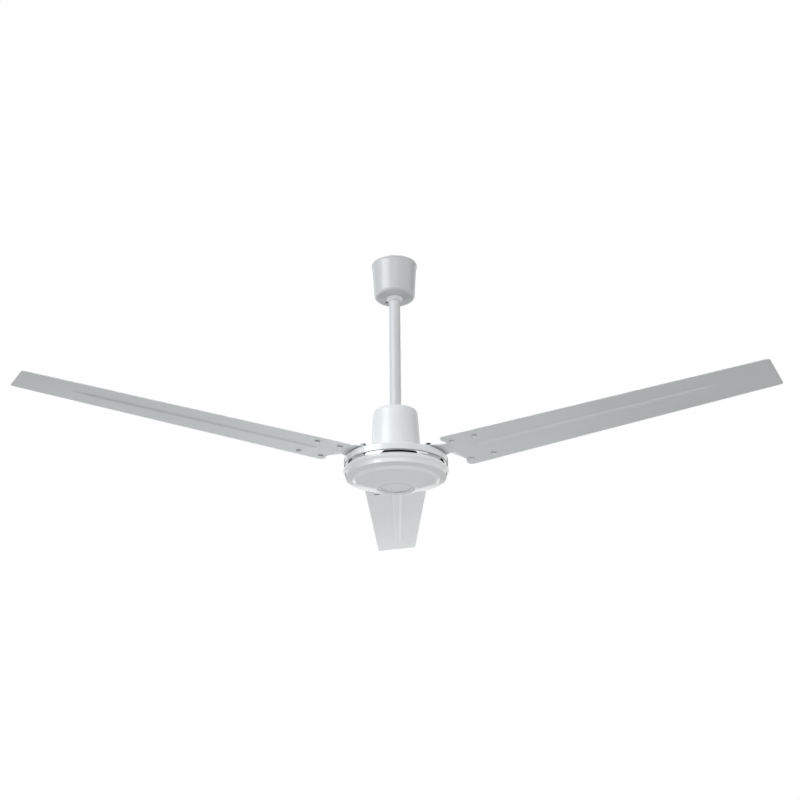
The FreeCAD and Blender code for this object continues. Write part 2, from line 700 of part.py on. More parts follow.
def make_wiring():
    """Tray on the coupler's flange with the capacitor, its clamp, the terminal block and the leads."""
    clamp_screw_y = clamp_out + clamp_foot / 2
    small_hole_r = small_screw_d / 2 + fixed_fit

    tray = ring(tray_r, coupler_r + fixed_fit, coupler_flange_z, tray_z)
    clamp_top_z = tray_z + capacitor_z + side_gap
    x_low = clamp_x - clamp_w / 2
    x_high = clamp_x + clamp_w / 2
    clamp = block(x_low, x_high, -clamp_out, clamp_out, tray_z, clamp_top_z + clamp_t)
    clamp = clamp.cut(block(x_low, x_high, -clamp_in, clamp_in, tray_z, clamp_top_z))
    clamp = clamp.fuse(block(x_low, x_high, -clamp_foot_y, -clamp_out, tray_z, tray_z + clamp_t))
    clamp = clamp.fuse(block(x_low, x_high, clamp_out, clamp_foot_y, tray_z, tray_z + clamp_t))
    clamp_screws = []
    for side in (-1, 1):
        hole = disc(small_hole_r, coupler_flange_z, tray_z + clamp_t, clamp_x, side * clamp_screw_y)
        clamp = clamp.cut(hole)
        tray = tray.cut(hole)
        screw = round_screw(small_screw_d, small_head_d, small_head_h, clamp_t + tray_t)
        clamp_screws.append(moved(screw, Vector(clamp_x, side * clamp_screw_y, tray_z + clamp_t)))
    save("capacitor_clamp", clamp.removeSplitter())
    save("clamp_screws", *clamp_screws)

    tray_screws = []
    for place in tray_screw_places():
        tray = tray.cut(disc(small_hole_r, coupler_flange_z, tray_z, *place))
        screw = round_screw(small_screw_d, small_head_d, small_head_h, tray_t + coupler_flange_t)
        tray_screws.append(moved(screw, Vector(place[0], place[1], tray_z)))
    save("wiring_tray", tray)
    save("tray_screws", *tray_screws)

    can = block(
        capacitor_in, capacitor_out, -capacitor_y / 2, capacitor_y / 2, tray_z, tray_z + capacitor_z)
    save("capacitor", can.makeFillet(capacitor_round, upright_edges(can)))

    terminal_in = coupler_r + terminal_gap
    terminal_top_z = tray_z + terminal_z
    terminal_mid_x = -terminal_in - terminal_x / 2
    terminal = block(
        -terminal_in - terminal_x, -terminal_in, -terminal_y / 2, terminal_y / 2, tray_z, terminal_top_z)
    terminal = terminal.makeFillet(terminal_round, upright_edges(terminal))
    screw_x = terminal_mid_x - terminal_x / 4
    lead_x = terminal_mid_x + terminal_x / 4
    hole_depth = terminal_z / 2
    window_z = (shaft_top_z + rod_bottom_z) / 2
    terminal_screws = []
    leads = []
    for turn in range(lead_count):
        place = turn - (lead_count - 1) / 2
        y = place * terminal_pitch
        screw_hole = disc(small_hole_r, terminal_top_z - hole_depth, terminal_top_z, screw_x, y)
        lead_hole = disc(lead_d / 2 + fixed_fit, terminal_top_z - hole_depth, terminal_top_z, lead_x, y)
        terminal = terminal.cut(screw_hole).cut(lead_hole)
        terminal_screws.append(
            disc(small_screw_d / 2, terminal_top_z - hole_depth, terminal_top_z, screw_x, y))
        leads.append(tube_along([
            Vector(-coil_in_r, place * lead_step, lead_lane_z), Vector(0, place * lead_step, lead_lane_z),
            Vector(0, place * lead_step, window_z), Vector(lead_x, y, window_z),
            Vector(lead_x, y, terminal_top_z - hole_depth),
        ], lead_d / 2, lead_bend))
    save("terminal_block", terminal)
    save("terminal_screws", *terminal_screws)
    save("motor_leads", *leads)


def make_shaft():
    """Fixed hollow shaft with a shoulder under each bearing, and the circlip at its lower end."""
    shaft = revolved(
        (0, shaft_bottom_z), (journal_r, shaft_bottom_z), (journal_r, lower_bearing_top_z),
        (shaft_r, lower_bearing_top_z), (shaft_r, upper_bearing_z), (journal_r, upper_bearing_z),
        (journal_r, shaft_top_z), (0, shaft_top_z),
    )
    bore_bottom_z = lead_lane_z - lead_d
    lead_room = lead_step * (lead_count - 1) / 2 + lead_d
    shaft = shaft.cut(disc(shaft_lead_bore / 2, bore_bottom_z, shaft_top_z))
    shaft = shaft.cut(block(-shaft_r, 0, -lead_room, lead_room, bore_bottom_z, lead_lane_z + lead_d))
    groove_r = journal_r - circlip_depth
    groove = ring(shaft_r, groove_r, lower_bearing_z - circlip_t, lower_bearing_z)
    save("motor_shaft", shaft.cut(groove))
    circlip_r = groove_r + fixed_fit
    clip = ring(circlip_r + circlip_w, circlip_r, lower_bearing_z - circlip_t, lower_bearing_z)
    gap = block(0, 2 * shaft_r, -circlip_w, circlip_w, lower_bearing_z - circlip_t, lower_bearing_z)
    save("shaft_circlip", clip.cut(gap))


def make_bearing(name, low):
    """Ball bearing: inner race on the shaft, outer race and balls turning with the rotor."""
    middle = low + bearing_w / 2
    ball_r = bearing_ball_d / 2
    raceway = Part.makeTorus(bearing_pitch_r, ball_r + running_fit, Vector(0, 0, middle))
    inner_race = ring(journal_r + bearing_race_t, journal_r + fixed_fit, low, low + bearing_w)
    outer_race = ring(bearing_r, bearing_r - bearing_race_t, low, low + bearing_w)
    save(f"{name}_inner_race", inner_race.cut(raceway))
    save(f"{name}_outer_race", outer_race.cut(raceway))
    balls = []
    for turn in range(bearing_balls):
        x, y = polar((0, 0), bearing_pitch_r, 360.0 / bearing_balls * turn)
        balls.append(Part.makeSphere(ball_r, Vector(x, y, middle)))
    save(f"{name}_balls", *balls)


def make_stator():
    """Laminated core with open slots, and one coil round each tooth."""
    half_pitch = math.radians(180.0 / tooth_count)
    tip_in_r = stator_r - tooth_tip_h

    def slot_half(radius):
        return radius * math.tan(half_pitch) - tooth_w / 2 / math.cos(half_pitch)

    core = ring(stator_r, shaft_r + fixed_fit, stator_bottom_z, stator_top_z)
    slot = plate((
        (slot_floor_r, -slot_half(slot_floor_r)), (tip_in_r, -slot_half(tip_in_r)),
        (tip_in_r, slot_half(tip_in_r)), (slot_floor_r, slot_half(slot_floor_r)),
    ), stator_bottom_z, stator_top_z)
    slot = slot.fuse(block(
        tip_in_r - tooth_tip_h, stator_r + tooth_tip_h, -slot_mouth / 2, slot_mouth / 2,
        stator_bottom_z, stator_top_z))
    coil_in = tooth_w / 2 + coil_gap
    coil_out = coil_in + coil_t
    coil_end = tip_in_r - coil_end_gap
    coil = block(
        coil_in_r, coil_end, -coil_out, coil_out,
        stator_bottom_z - coil_gap - coil_t, stator_top_z + coil_gap + coil_t)
    coil = coil.cut(block(
        coil_in_r, coil_end, -coil_in, coil_in, stator_bottom_z - coil_gap, stator_top_z + coil_gap))
    pitch = 360.0 / tooth_count
    for turn in range(tooth_count):
        core = core.cut(turned(slot, pitch * (turn + 0.5)))
    save("stator_core", core)
    save("stator_windings", *[turned(coil, pitch * turn) for turn in range(tooth_count)])


def make_rotor():
    """Outer ring of laminations with its cast cage of bars and end rings."""
    bar_circle_r = core_in_r + end_ring_in + end_ring_w / 2
    low = stator_bottom_z - end_ring_h
    high = stator_top_z + end_ring_h
    end_in_r = core_in_r + end_ring_in
    core = ring(core_r, core_in_r, stator_bottom_z, stator_top_z)
    cage = ring(end_in_r + end_ring_w, end_in_r, low, stator_bottom_z)
    cage = cage.fuse(ring(end_in_r + end_ring_w, end_in_r, stator_top_z, high))
    holes = []
    bars = []
    for turn in range(bar_count):
        place = polar((0, 0), bar_circle_r, 360.0 / bar_count * turn)
        holes.append(disc(bar_d / 2 + fixed_fit, stator_bottom_z, stator_top_z, *place))
        bars.append(disc(bar_d / 2, stator_bottom_z, stator_top_z, *place))
    save("rotor_core", core.cut(holes))
    save("rotor_cage", cage.fuse(bars).removeSplitter())


def housing_screw_places():
    """Screws beside the middle of each space between two arms."""
    places = []
    for azimuth in blade_azimuths:
        middle = azimuth + 180.0 / blade_count
        for side in (-1, 1):
            places.append(polar((0, 0), screw_circle_r, middle + side * screw_spread))
    return places


def arm_bolt_places():
    places = []
    for azimuth in blade_azimuths:
        for side in (-1, 1):
            places.append(polar((0, 0), arm_bolt_r, azimuth + side * arm_bolt_spread))
    return places


def make_top_cover():
    """Upper half of the motor's housing, with the seats and bosses that carry the arms."""
    bearing_top_z = motor_top_z - casting_t
    rim_centre = (rim_r - rim_round, rim_z - rim_round)
    cover = revolved(
        (shaft_hole_r, motor_top_z), (crown_r, motor_top_z), (seat_in_r, rim_z), (rim_centre[0], rim_z),
        (polar(rim_centre, rim_round, 45), (rim_r, rim_centre[1])),
        (rim_r, band_top_z), (band_seat_r, band_top_z), (band_seat_r, joint_z), (housing_in_r, joint_z),
        (housing_in_r, rim_under_z), (seat_in_r, rim_under_z), (crown_r, bearing_top_z),
        (hub_r, bearing_top_z), (hub_r, upper_bearing_z), (bearing_seat_r, upper_bearing_z),
        (bearing_seat_r, bearing_top_z), (shaft_hole_r, bearing_top_z),
    )
    seat_x = arm_bolt_x - arm_flange_depth
    seat = plate((
        (seat_x, -arm_flange_y), (rim_r, -arm_flange_y), (rim_r, arm_flange_y), (seat_x, arm_flange_y),
    ), rim_z, arm_seat_z)
    seat = seat.common(disc(rim_r - arm_pad_inset, rim_z, arm_seat_z))
    additions = [turned(seat, azimuth) for azimuth in blade_azimuths]
    holes = []
    for place in arm_bolt_places():
        boss_z_low = rim_under_z - arm_bolt_bite
        additions.append(disc(arm_boss_d / 2, boss_z_low, rim_under_z, *place))
        holes.append(disc(arm_bolt_d / 2 + fixed_fit, boss_z_low, arm_seat_z, *place))
    for place in housing_screw_places():
        additions.append(disc(housing_boss_d / 2, joint_z, rim_under_z, *place))
        holes.append(disc(housing_screw_d / 2 + fixed_fit, joint_z, rim_z, *place))
    save("top_cover", cover.fuse(additions).cut(holes).removeSplitter())


def make_bottom_cover():
    """Lower half of the housing: rolled bead, skirt, ribbed face, shallow dish and the badge's recess."""
    straight_z = band_bottom_z - ring_straight
    roll_z = straight_z - ring_roll_h
    roll_r = (ring_in ** 2 + ring_roll_h ** 2) / (4 * ring_in)
    outer_centre = (ring_r - roll_r, straight_z)
    inner_centre = (edge_r + roll_r, roll_z)
    half_roll = math.degrees(math.asin(ring_roll_h / (2 * roll_r))) / 2
    roll_middle = ((ring_r + edge_r) / 2, (straight_z + roll_z) / 2)
    round_centre = (ring_r - ring_round, band_bottom_z - ring_round)
    shelf_r = core_r - core_shelf_w
    wall_top_z = joint_z - side_gap
    pocket_r = recess_r + badge_draft + casting_t
    skirt_floor_z = edge_z + casting_t
    bearing_lip_r = bearing_r - bearing_race_t
    cover = revolved(
        (band_seat_r, joint_z), (band_seat_r, band_bottom_z), (round_centre[0], band_bottom_z),
        (polar(round_centre, ring_round, 45), (ring_r, round_centre[1])),
        (ring_r, straight_z),
        (polar(outer_centre, roll_r, -half_roll), roll_middle),
        (polar(inner_centre, roll_r, 180 - half_roll), (edge_r, roll_z)),
        (edge_r, edge_z), (rib_r, rib_z), (rib_in_r, rib_in_z), (boss_r + boss_slope, dish_z), (boss_r, boss_z),
        (recess_r + badge_draft, boss_z), (recess_r, recess_z), (0, recess_z),
        (0, floor_z), (bearing_lip_r, floor_z), (bearing_lip_r, lower_bearing_z),
        (bearing_seat_r, lower_bearing_z), (bearing_seat_r, lower_bearing_top_z),
        (hub_r, lower_bearing_top_z), (hub_r, floor_z), (pocket_r, floor_z),
        (pocket_r, boss_z + casting_t), (boss_r, boss_z + casting_t),
        (rib_in_r, rib_in_z + casting_t), (shelf_r, rib_z + casting_t), (shelf_r, stator_bottom_z),
        (core_seat_r, stator_bottom_z), (core_seat_r, wall_top_z), (core_wall_r, wall_top_z),
        (core_wall_r, skirt_floor_z), (edge_r - casting_t, skirt_floor_z), (housing_in_r, straight_z),
        (housing_in_r, joint_z),
    )
    bosses = []
    holes = []
    for place in housing_screw_places():
        bosses.append(disc(housing_boss_d / 2, skirt_floor_z, joint_z, *place))
        holes.append(disc(housing_screw_d / 2 + fixed_fit, joint_z - housing_screw_bite, joint_z, *place))
    save("bottom_cover", cover.fuse(bosses).cut(holes).removeSplitter())
    save("badge_disc", disc(badge_r, badge_face_z, recess_z))
    save("chrome_band", ring(band_r, band_seat_r + fixed_fit, band_bottom_z, band_top_z))
    screw_l = rim_z - joint_z + housing_screw_bite
    screw = round_screw(housing_screw_d, housing_head_d, housing_head_h, screw_l)
    save("housing_screws", *[moved(screw, Vector(x, y, rim_z)) for x, y in housing_screw_places()])


def arm_point(share, x, y, up):
    """Point of an arm: share 0 lies flat on the motor, share 1 lies on the blade."""
    flat = Vector(x, y, arm_seat_z + up)
    on_blade = blade_frame.multVec(Vector(x, y, blade_t + up))
    return flat * (1 - share) + on_blade * share


def arm_section(share, bead):
    """Cross-section of the neck, with its pressed bead."""
    x = arm_neck_x * (1 - share) + arm_pad_x * share
    half = (arm_neck_w * (1 - share) + arm_neck_end_w * share) / 2
    foot = arm_bead_w / 2
    crest = arm_bead_w / 4
    under = [(-half, 0), (-foot, 0), (-crest, bead), (crest, bead), (foot, 0), (half, 0)]
    over = [(y, up + arm_t) for y, up in reversed(under)]
    points = [arm_point(share, x, y, up) for y, up in under + over]
    return Part.makePolygon(points + points[:1])


def make_arm():
    """Pressed arm: bolted flange, stepped neck and the pad on top of the blade."""
    half_neck = arm_neck_w / 2
    half_end = arm_neck_end_w / 2
    flange_end = rim_r - arm_pad_inset / 2
    flange = plate((
        (arm_flange_x, -arm_flange_y), (flange_end, -arm_flange_y), (arm_neck_x, -half_neck),
        (arm_neck_x, half_neck), (flange_end, arm_flange_y), (arm_flange_x, arm_flange_y),
    ), arm_seat_z, arm_seat_z + arm_t)
    for side in (-1, 1):
        flange = flange.cut(disc(
            arm_bolt_d / 2 + fixed_fit, arm_seat_z, arm_seat_z + arm_t, arm_bolt_x, side * arm_bolt_y))
    neck_sections = [arm_section(0.0, 0.0), arm_section(0.5, arm_bead_h), arm_section(1.0, 0.0)]
    neck = Part.makeLoft(neck_sections, True, True)
    corner_y = arm_pad_y - arm_pad_chamfer
    rake_x = arm_pad_x + arm_pad_rake
    side_start = rake_x + arm_pad_chamfer
    side_end = arm_end_x - arm_pad_chamfer
    pad = plate((
        (arm_pad_x, -half_end), (rake_x, -corner_y), (side_start, -arm_pad_y), (side_end, -arm_pad_y),
        (arm_end_x, -corner_y), (arm_end_x, corner_y), (side_end, arm_pad_y), (side_start, arm_pad_y),
        (rake_x, corner_y), (arm_pad_x, half_end),
    ), blade_t, blade_t + arm_t)
    pad = pad.cut(rivet_holes(blade_t + arm_t))
    pad.Placement = blade_frame
    return flange.fuse([neck, pad]).removeSplitter()


def rivet_holes(high):
    """Holes through the blade and the arm's pad, in the blade's own frame."""
    return [disc(rivet_d / 2 + fixed_fit, 0, high, x, side * rivet_y) for x in rivet_x for side in (-1, 1)]


def rib_section(x, half_width, depth):
    """Trapezoid under the blade, across its length."""
    tread = half_width * blade_rib_tread
    points = [
        Vector(x, -half_width, 0), Vector(x, half_width, 0),
        Vector(x, tread, -depth), Vector(x, -tread, -depth),
    ]
    return Part.makePolygon(points + points[:1])


def make_blade():
    """Tapered sheet with a scooped root, rounded corners and a long pressed rib."""
    flare = (blade_root_w - blade_tip_w) / 2 / (tip_r - blade_root_r)
    scoop_x = blade_root_r - blade_root_w / 2
    inner_y = blade_root_w / 2 + flare * (blade_root_r - scoop_x)
    sheet = plate((
        (scoop_x, -inner_y), (tip_r, -blade_tip_w / 2), (tip_r, blade_tip_w / 2), (scoop_x, inner_y),
    ), 0, blade_t)
    sheet = sheet.cut(disc(blade_root_r, 0, blade_t))
    root_edges = [edge for edge in upright_edges(sheet) if edge.CenterOfMass.x < blade_root_r]
    sheet = sheet.makeFillet(blade_root_round, root_edges)
    tip_edges = [edge for edge in upright_edges(sheet) if edge.CenterOfMass.x > tip_r - blade_tip_round]
    sheet = sheet.makeFillet(blade_tip_round, tip_edges)

    half_rib = blade_rib_w / 2
    half_tail = blade_rib_tail_w / 2
    rib_start = blade_root_r + blade_rib_start + half_rib
    rib_end = tip_r - blade_rib_end
    nose = turned(Part.makeCone(
        half_rib * blade_rib_tread, half_rib, blade_rib_h, Vector(0, 0, -blade_rib_h), Z_AXIS, 180), 90)
    rib = Part.makeLoft([
        rib_section(rib_start, half_rib, blade_rib_h),
        rib_section(rib_end, half_tail, blade_rib_tail_h),
        rib_section(rib_end + blade_rib_fade, blade_rib_tip_w / 2, blade_rib_tip_h),
    ], True, True)
    pressed = moved(nose, Vector(rib_start, 0, 0)).fuse(rib).removeSplitter()
    groove = moved(pressed, Vector(0, 0, blade_t))
    blade = sheet.fuse(pressed).cut(groove).cut(rivet_holes(blade_t)).removeSplitter()
    blade.Placement = blade_frame
    return blade


def make_rivets():
    """Rivets with a domed head under the blade and a lower one on the arm."""
    grip = blade_t + arm_t
    head_r = rivet_head_d / 2
    rivet = revolved(
        (0, -rivet_head_h), (dome_middle(head_r, 0, -rivet_head_h), (head_r, 0)),
        (rivet_d / 2, 0), (rivet_d / 2, grip), (head_r, grip),
        (dome_middle(head_r, grip, rivet_tail_h), (0, grip + rivet_tail_h)),
    )
    rivets = []
    for x in rivet_x:
        for side in (-1, 1):
            place = Placement(Vector(x, side * rivet_y, 0), Rotation())
            copy = rivet.copy()
            copy.Placement = blade_frame * place
            rivets.append(copy)
    return rivets


def make_blades():
    """Arms, blades and rivets round the motor, then the bolts that hold the arms."""
    arm = make_arm()
    blade = make_blade()
    rivets = make_rivets()
    for number, azimuth in enumerate(blade_azimuths, start=1):
        save(f"blade_arm_{number}", turned(arm, azimuth))
        save(f"blade_{number}", turned(blade, azimuth))
        save(f"blade_rivets_{number}", *[turned(rivet, azimuth) for rivet in rivets])
    arm_top_z = arm_seat_z + arm_t
    bolt_length = lock_washer_t + arm_t + arm_pad_rise + casting_t + arm_bolt_bite
    bolt = hex_bolt(arm_bolt_d, arm_bolt_hex, arm_bolt_head_h, bolt_length)
    washer_in_r = arm_bolt_d / 2 + fixed_fit
    washer = ring(washer_in_r + lock_washer_w, washer_in_r, 0, lock_washer_t)
    washer = washer.cut(block(0, 2 * arm_bolt_d, -side_gap, side_gap, 0, lock_washer_t))
    places = arm_bolt_places()
    save("arm_lock_washers", *[moved(washer, Vector(x, y, arm_top_z)) for x, y in places])
    save("arm_bolts", *[moved(bolt, Vector(x, y, arm_top_z + lock_washer_t)) for x, y in places])


make_hanger()
make_down_rod()
make_canopy()
make_coupling_cover()
make_coupler()
make_wiring()
make_shaft()
make_bearing("upper_bearing", upper_bearing_z)
make_bearing("lower_bearing", lower_bearing_z)
make_stator()
make_rotor()
make_top_cover()
make_bottom_cover()
make_blades()
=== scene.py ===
import json
import math

import bpy
from mathutils import Matrix, Vector

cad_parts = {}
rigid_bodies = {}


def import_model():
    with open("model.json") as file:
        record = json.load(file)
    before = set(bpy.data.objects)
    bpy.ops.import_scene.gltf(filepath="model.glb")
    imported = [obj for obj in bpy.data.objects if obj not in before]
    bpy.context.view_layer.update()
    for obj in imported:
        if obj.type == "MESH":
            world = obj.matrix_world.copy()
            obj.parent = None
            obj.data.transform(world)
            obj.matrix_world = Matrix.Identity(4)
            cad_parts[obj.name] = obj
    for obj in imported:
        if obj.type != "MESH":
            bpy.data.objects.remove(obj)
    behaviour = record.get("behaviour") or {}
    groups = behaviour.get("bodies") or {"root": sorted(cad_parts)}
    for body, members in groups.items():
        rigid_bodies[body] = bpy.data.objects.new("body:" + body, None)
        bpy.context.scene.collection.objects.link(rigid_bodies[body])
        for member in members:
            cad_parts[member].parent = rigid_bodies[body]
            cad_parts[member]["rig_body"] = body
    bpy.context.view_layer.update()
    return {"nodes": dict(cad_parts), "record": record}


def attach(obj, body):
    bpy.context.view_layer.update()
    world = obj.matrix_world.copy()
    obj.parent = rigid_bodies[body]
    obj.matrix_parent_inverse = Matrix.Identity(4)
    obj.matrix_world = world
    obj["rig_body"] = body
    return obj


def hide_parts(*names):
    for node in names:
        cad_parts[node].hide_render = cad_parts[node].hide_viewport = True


# White three-blade ceiling fan, seen from below, in metres. Outlines are written in millimetres.
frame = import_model()
nodes = frame["nodes"]
slots = {part["node"]: part["material_slot"] for part in frame["record"]["subparts"]}

MM = 0.001

# Distances, in millimetres, within which corners of a mesh are taken as one, and the width of an empty face
RING_MERGE = 0.001
SOLID_MERGE = 0.002
SLIVER_MERGE = 0.004
SLIVER_WIDTH = 0.001

# Angles, in degrees, at which the bends of a pressed sheet fold, and past which an edge of it is a cut one
LEAST_BEND = 7
MOST_BEND = 50
CUT_EDGE = 55

# The three blades: azimuths, rise outwards and pitch in degrees, level at the fan's axis, and thickness
BLADE_AZIMUTHS = (90, 210, 330)
BLADE_RISE = 2.54
BLADE_PITCH = 5.8
BLADE_LEVEL = -437
BLADE_SHEET = 1.0

# Top of the motor, and the raised seats of the blade arms on it
MOTOR_TOP = -424.0
SEAT_INNER = 66.4
SEAT_OUTER = 90.5
SEAT_HALF_ANGLE = 19
SEAT_HEIGHT = 2.0


# Modelling tools


def deselect():
    bpy.ops.object.select_all(action="DESELECT")


def activate(piece):
    """Make one piece the only selected one."""
    deselect()
    piece.select_set(True)
    bpy.context.view_layer.objects.active = piece


def rounded(points, parts):
    """Outline whose corners are rounded by the third number of each point."""
    outline = []
    for index, (radius, level, bend) in enumerate(points):
        corner = Vector((radius, level))
        if bend == 0:
            outline.append(corner)
            continue
        back = (Vector(points[index - 1][:2]) - corner).normalized()
        ahead = (Vector(points[(index + 1) % len(points)][:2]) - corner).normalized()
        half = back.angle(ahead) / 2
        centre = corner + (back + ahead).normalized() * (bend / math.sin(half))
        reach = bend / math.tan(half)
        start = corner + back * reach - centre
        end = corner + ahead * reach - centre
        for part in range(parts + 1):
            outline.append(centre + start.lerp(end, part / parts).normalized() * bend)
    return outline


def turned(name, points, closed=True, steps=128, parts=5):
    """Turn a piece on the fan's axis: a circle is pulled along the outline, ring by ring."""
    outline = rounded(points, parts)
    radius, level = outline[0]
    deselect()
    bpy.ops.mesh.primitive_circle_add(vertices=steps, radius=radius * MM)
    piece = bpy.context.object
    piece.name = name
    bpy.ops.object.mode_set(mode="EDIT")
    bpy.ops.mesh.select_mode(type="VERT")
    bpy.ops.mesh.select_all(action="SELECT")
    bpy.ops.transform.translate(value=(0, 0, level * MM))
    rings = outline[1:] + outline[:1] if closed else outline[1:]
    for next_radius, next_level in rings:
        rise = (0, 0, (next_level - level) * MM)
        bpy.ops.mesh.extrude_region_move(TRANSFORM_OT_translate={"value": rise})
        share = next_radius / radius
        bpy.ops.transform.resize(value=(share, share, 1), center_override=(0, 0, next_level * MM))
        radius, level = next_radius, next_level
    bpy.ops.mesh.select_all(action="SELECT")
    bpy.ops.mesh.remove_doubles(threshold=RING_MERGE * MM)
    if not closed:
        bpy.ops.mesh.fill_holes(sides=0)
    bpy.ops.mesh.select_all(action="SELECT")
    bpy.ops.mesh.normals_make_consistent(inside=False)
    bpy.ops.object.mode_set(mode="OBJECT")
    return piece


def select_faces(piece, wanted):
    """In edit mode, select the faces whose centre and normal pass a test."""
    bpy.ops.mesh.select_mode(type="FACE")
    bpy.ops.mesh.select_all(action="DESELECT")
    bpy.ops.object.mode_set(mode="OBJECT")
    for face in piece.data.polygons:
        face.select = wanted(face.center, face.normal)
    bpy.ops.object.mode_set(mode="EDIT")


def apply_modifier(piece, kind, **settings):
    modifier = piece.modifiers.new(kind.lower(), kind)
    for setting, value in settings.items():
        setattr(modifier, setting, value)
    activate(piece)
    bpy.ops.object.modifier_apply(modifier=modifier.name)


def smooth(piece, degrees=50):
    """Smooth shading that keeps broad faces flat beside small rounds."""
    activate(piece)
    bpy.ops.object.shade_smooth_by_angle(angle=math.radians(degrees))
    apply_modifier(piece, "WEIGHTED_NORMAL", keep_sharp=True)


def clear_slivers(piece):
    """Merge corners that lie together, and drop the faces that have no area."""
    activate(piece)
    bpy.ops.object.mode_set(mode="EDIT")
    bpy.ops.mesh.select_all(action="SELECT")
    bpy.ops.mesh.remove_doubles(threshold=SLIVER_MERGE * MM)
    bpy.ops.mesh.dissolve_degenerate(threshold=SLIVER_WIDTH * MM)
    bpy.ops.object.mode_set(mode="OBJECT")


def soften(piece, width, degrees=28):
    """Round the edges of a piece that are sharper than an angle."""
    apply_modifier(
        piece, "BEVEL", width=width * MM, segments=2, limit_method="ANGLE",
        angle_limit=math.radians(degrees))
    clear_slivers(piece)
    smooth(piece)


def cut(piece, cutter):
    """Cut one piece with another, which is used up."""
    apply_modifier(piece, "BOOLEAN", operation="DIFFERENCE", object=cutter, solver="EXACT")
    bpy.data.objects.remove(cutter)


def copy_of(piece, name):
    """Copy of a piece with its own mesh, free of the frame."""
    activate(piece)
    bpy.ops.object.duplicate()
    copy = bpy.context.object
    copy.name = name
    for mark in list(copy.keys()):
        del copy[mark]
    bpy.ops.object.parent_clear(type="CLEAR_KEEP_TRANSFORM")
    return copy


def joined(name, pieces):
    """Join several pieces into one."""
    activate(pieces[0])
    for piece in pieces[1:]:
        piece.select_set(True)
    bpy.ops.object.join()
    whole = bpy.context.object
    whole.name = name
    return whole


def cutter_block(centre, size):
    """Plain block to cut with; its centre and size are in millimetres."""
    deselect()
    bpy.ops.mesh.primitive_cube_add(size=1, location=[value * MM for value in centre])
    bpy.ops.transform.resize(value=[value * MM for value in size])
    bpy.ops.object.transform_apply()
    return bpy.context.object


def put_at(piece, matrix):
    """Move a piece and keep the move in its mesh."""
    piece.matrix_world = matrix
    activate(piece)
    bpy.ops.object.transform_apply(location=True, rotation=True, scale=True)


def select_creases(piece, least, most):
    """In edit mode, select the edges whose two faces meet at an angle between two bounds, in degrees."""
    bpy.ops.mesh.select_mode(type="EDGE")
    bpy.ops.mesh.select_all(action="DESELECT")
    bpy.ops.object.mode_set(mode="OBJECT")
    sides = {}
    for face in piece.data.polygons:
        for key in face.edge_keys:
            sides.setdefault(key, []).append(face.normal)
    for edge in piece.data.edges:
        pair = sides[edge.key]
        bend = math.degrees(pair[0].angle(pair[1])) if len(pair) == 2 else 0
        edge.select = least < bend < most
    bpy.ops.object.mode_set(mode="EDIT")


def solid_copy(node):
    """Copy of a node with its loose triangles joined into whole faces."""
    piece = copy_of(nodes[node], f"{node}_finished")
    bpy.ops.mesh.customdata_custom_splitnormals_clear()
    bpy.ops.object.mode_set(mode="EDIT")
    bpy.ops.mesh.select_all(action="SELECT")
    bpy.ops.mesh.remove_doubles(threshold=SOLID_MERGE * MM)
    bpy.ops.mesh.dissolve_limited(angle_limit=math.radians(0.5))
    bpy.ops.object.mode_set(mode="OBJECT")
    return piece


def settle_copy(piece, node):
    """Put a finished copy in the place of its node."""
    slot = slots[node]
    settle(piece, nodes[node]["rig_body"], slot, finishes[slot], node)


def finish_solid(node, width):
    """Round the edges of a forged, cut or moulded piece."""
    piece = solid_copy(node)
    soften(piece, width)
    settle_copy(piece, node)


def finish_sheet(piece, node, crease, edge):
    """Round the bends of a pressed sheet, and break its cut edges."""
    activate(piece)
    bpy.ops.object.mode_set(mode="EDIT")
    select_creases(piece, LEAST_BEND, MOST_BEND)
    bpy.ops.mesh.bevel(offset=crease * MM, segments=3, affect="EDGES", clamp_overlap=True)
    bpy.ops.object.mode_set(mode="OBJECT")
    clear_slivers(piece)
    soften(piece, edge, CUT_EDGE)
    settle_copy(piece, node)


def azimuth_from(spot, degrees):
    """Angle of a spot about the fan's axis, from an azimuth, in degrees."""
    angle = math.degrees(math.atan2(spot.y, spot.x)) - degrees
    return (angle + 180) % 360 - 180


def spot_on_circle(radius, degrees, level):
    """Place on a level circle about the fan's axis, in millimetres."""
    angle = math.radians(degrees)
    return Matrix.Translation((radius * MM * math.cos(angle), radius * MM * math.sin(angle), level * MM))


def settle(piece, body, slot, finish, *stands_for):
    """Give a piece its finish, its body and the nodes that it stands for."""
    piece.data.materials.clear()
    piece.data.materials.append(finish)
    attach(piece, body)
    if stands_for:
        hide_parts(*stands_for)


# Shader tools


class Finish:
    """One material with its node tree and its Principled shader."""

    def __init__(self, name, color, roughness, metallic=0.0):
        self.material = bpy.data.materials.new(name)
        self.material.use_nodes = True
        self.tree = self.material.node_tree
        self.shader = self.tree.nodes["Principled BSDF"]
        self.set("Base Color", (*color, 1))
        self.set("Roughness", roughness)
        self.set("Metallic", metallic)

    def set(self, socket, value):
        self.shader.inputs[socket].default_value = value

    def add(self, kind, **settings):
        return add_node(self.tree, kind, **settings)

    def link(self, source, target):
        self.tree.links.new(source, target)

    def use(self, group, **values):
        """Place a shared group with its own values."""
        node = self.add("ShaderNodeGroup")
        node.node_tree = group
        for socket, value in values.items():
            node.inputs[socket.replace("_", " ")].default_value = value
        return node

    def feed(self, source, socket):
        self.link(source, self.shader.inputs[socket])

    def bump(self, height, strength, distance):
        node = self.add("ShaderNodeBump")
        node.inputs["Strength"].default_value = strength
        node.inputs["Distance"].default_value = distance
        self.link(height, node.inputs["Height"])
        self.feed(node.outputs["Normal"], "Normal")


def add_node(tree, kind, **settings):
    node = tree.nodes.new(kind)
    for setting, value in settings.items():
        setattr(node, setting, value)
    return node


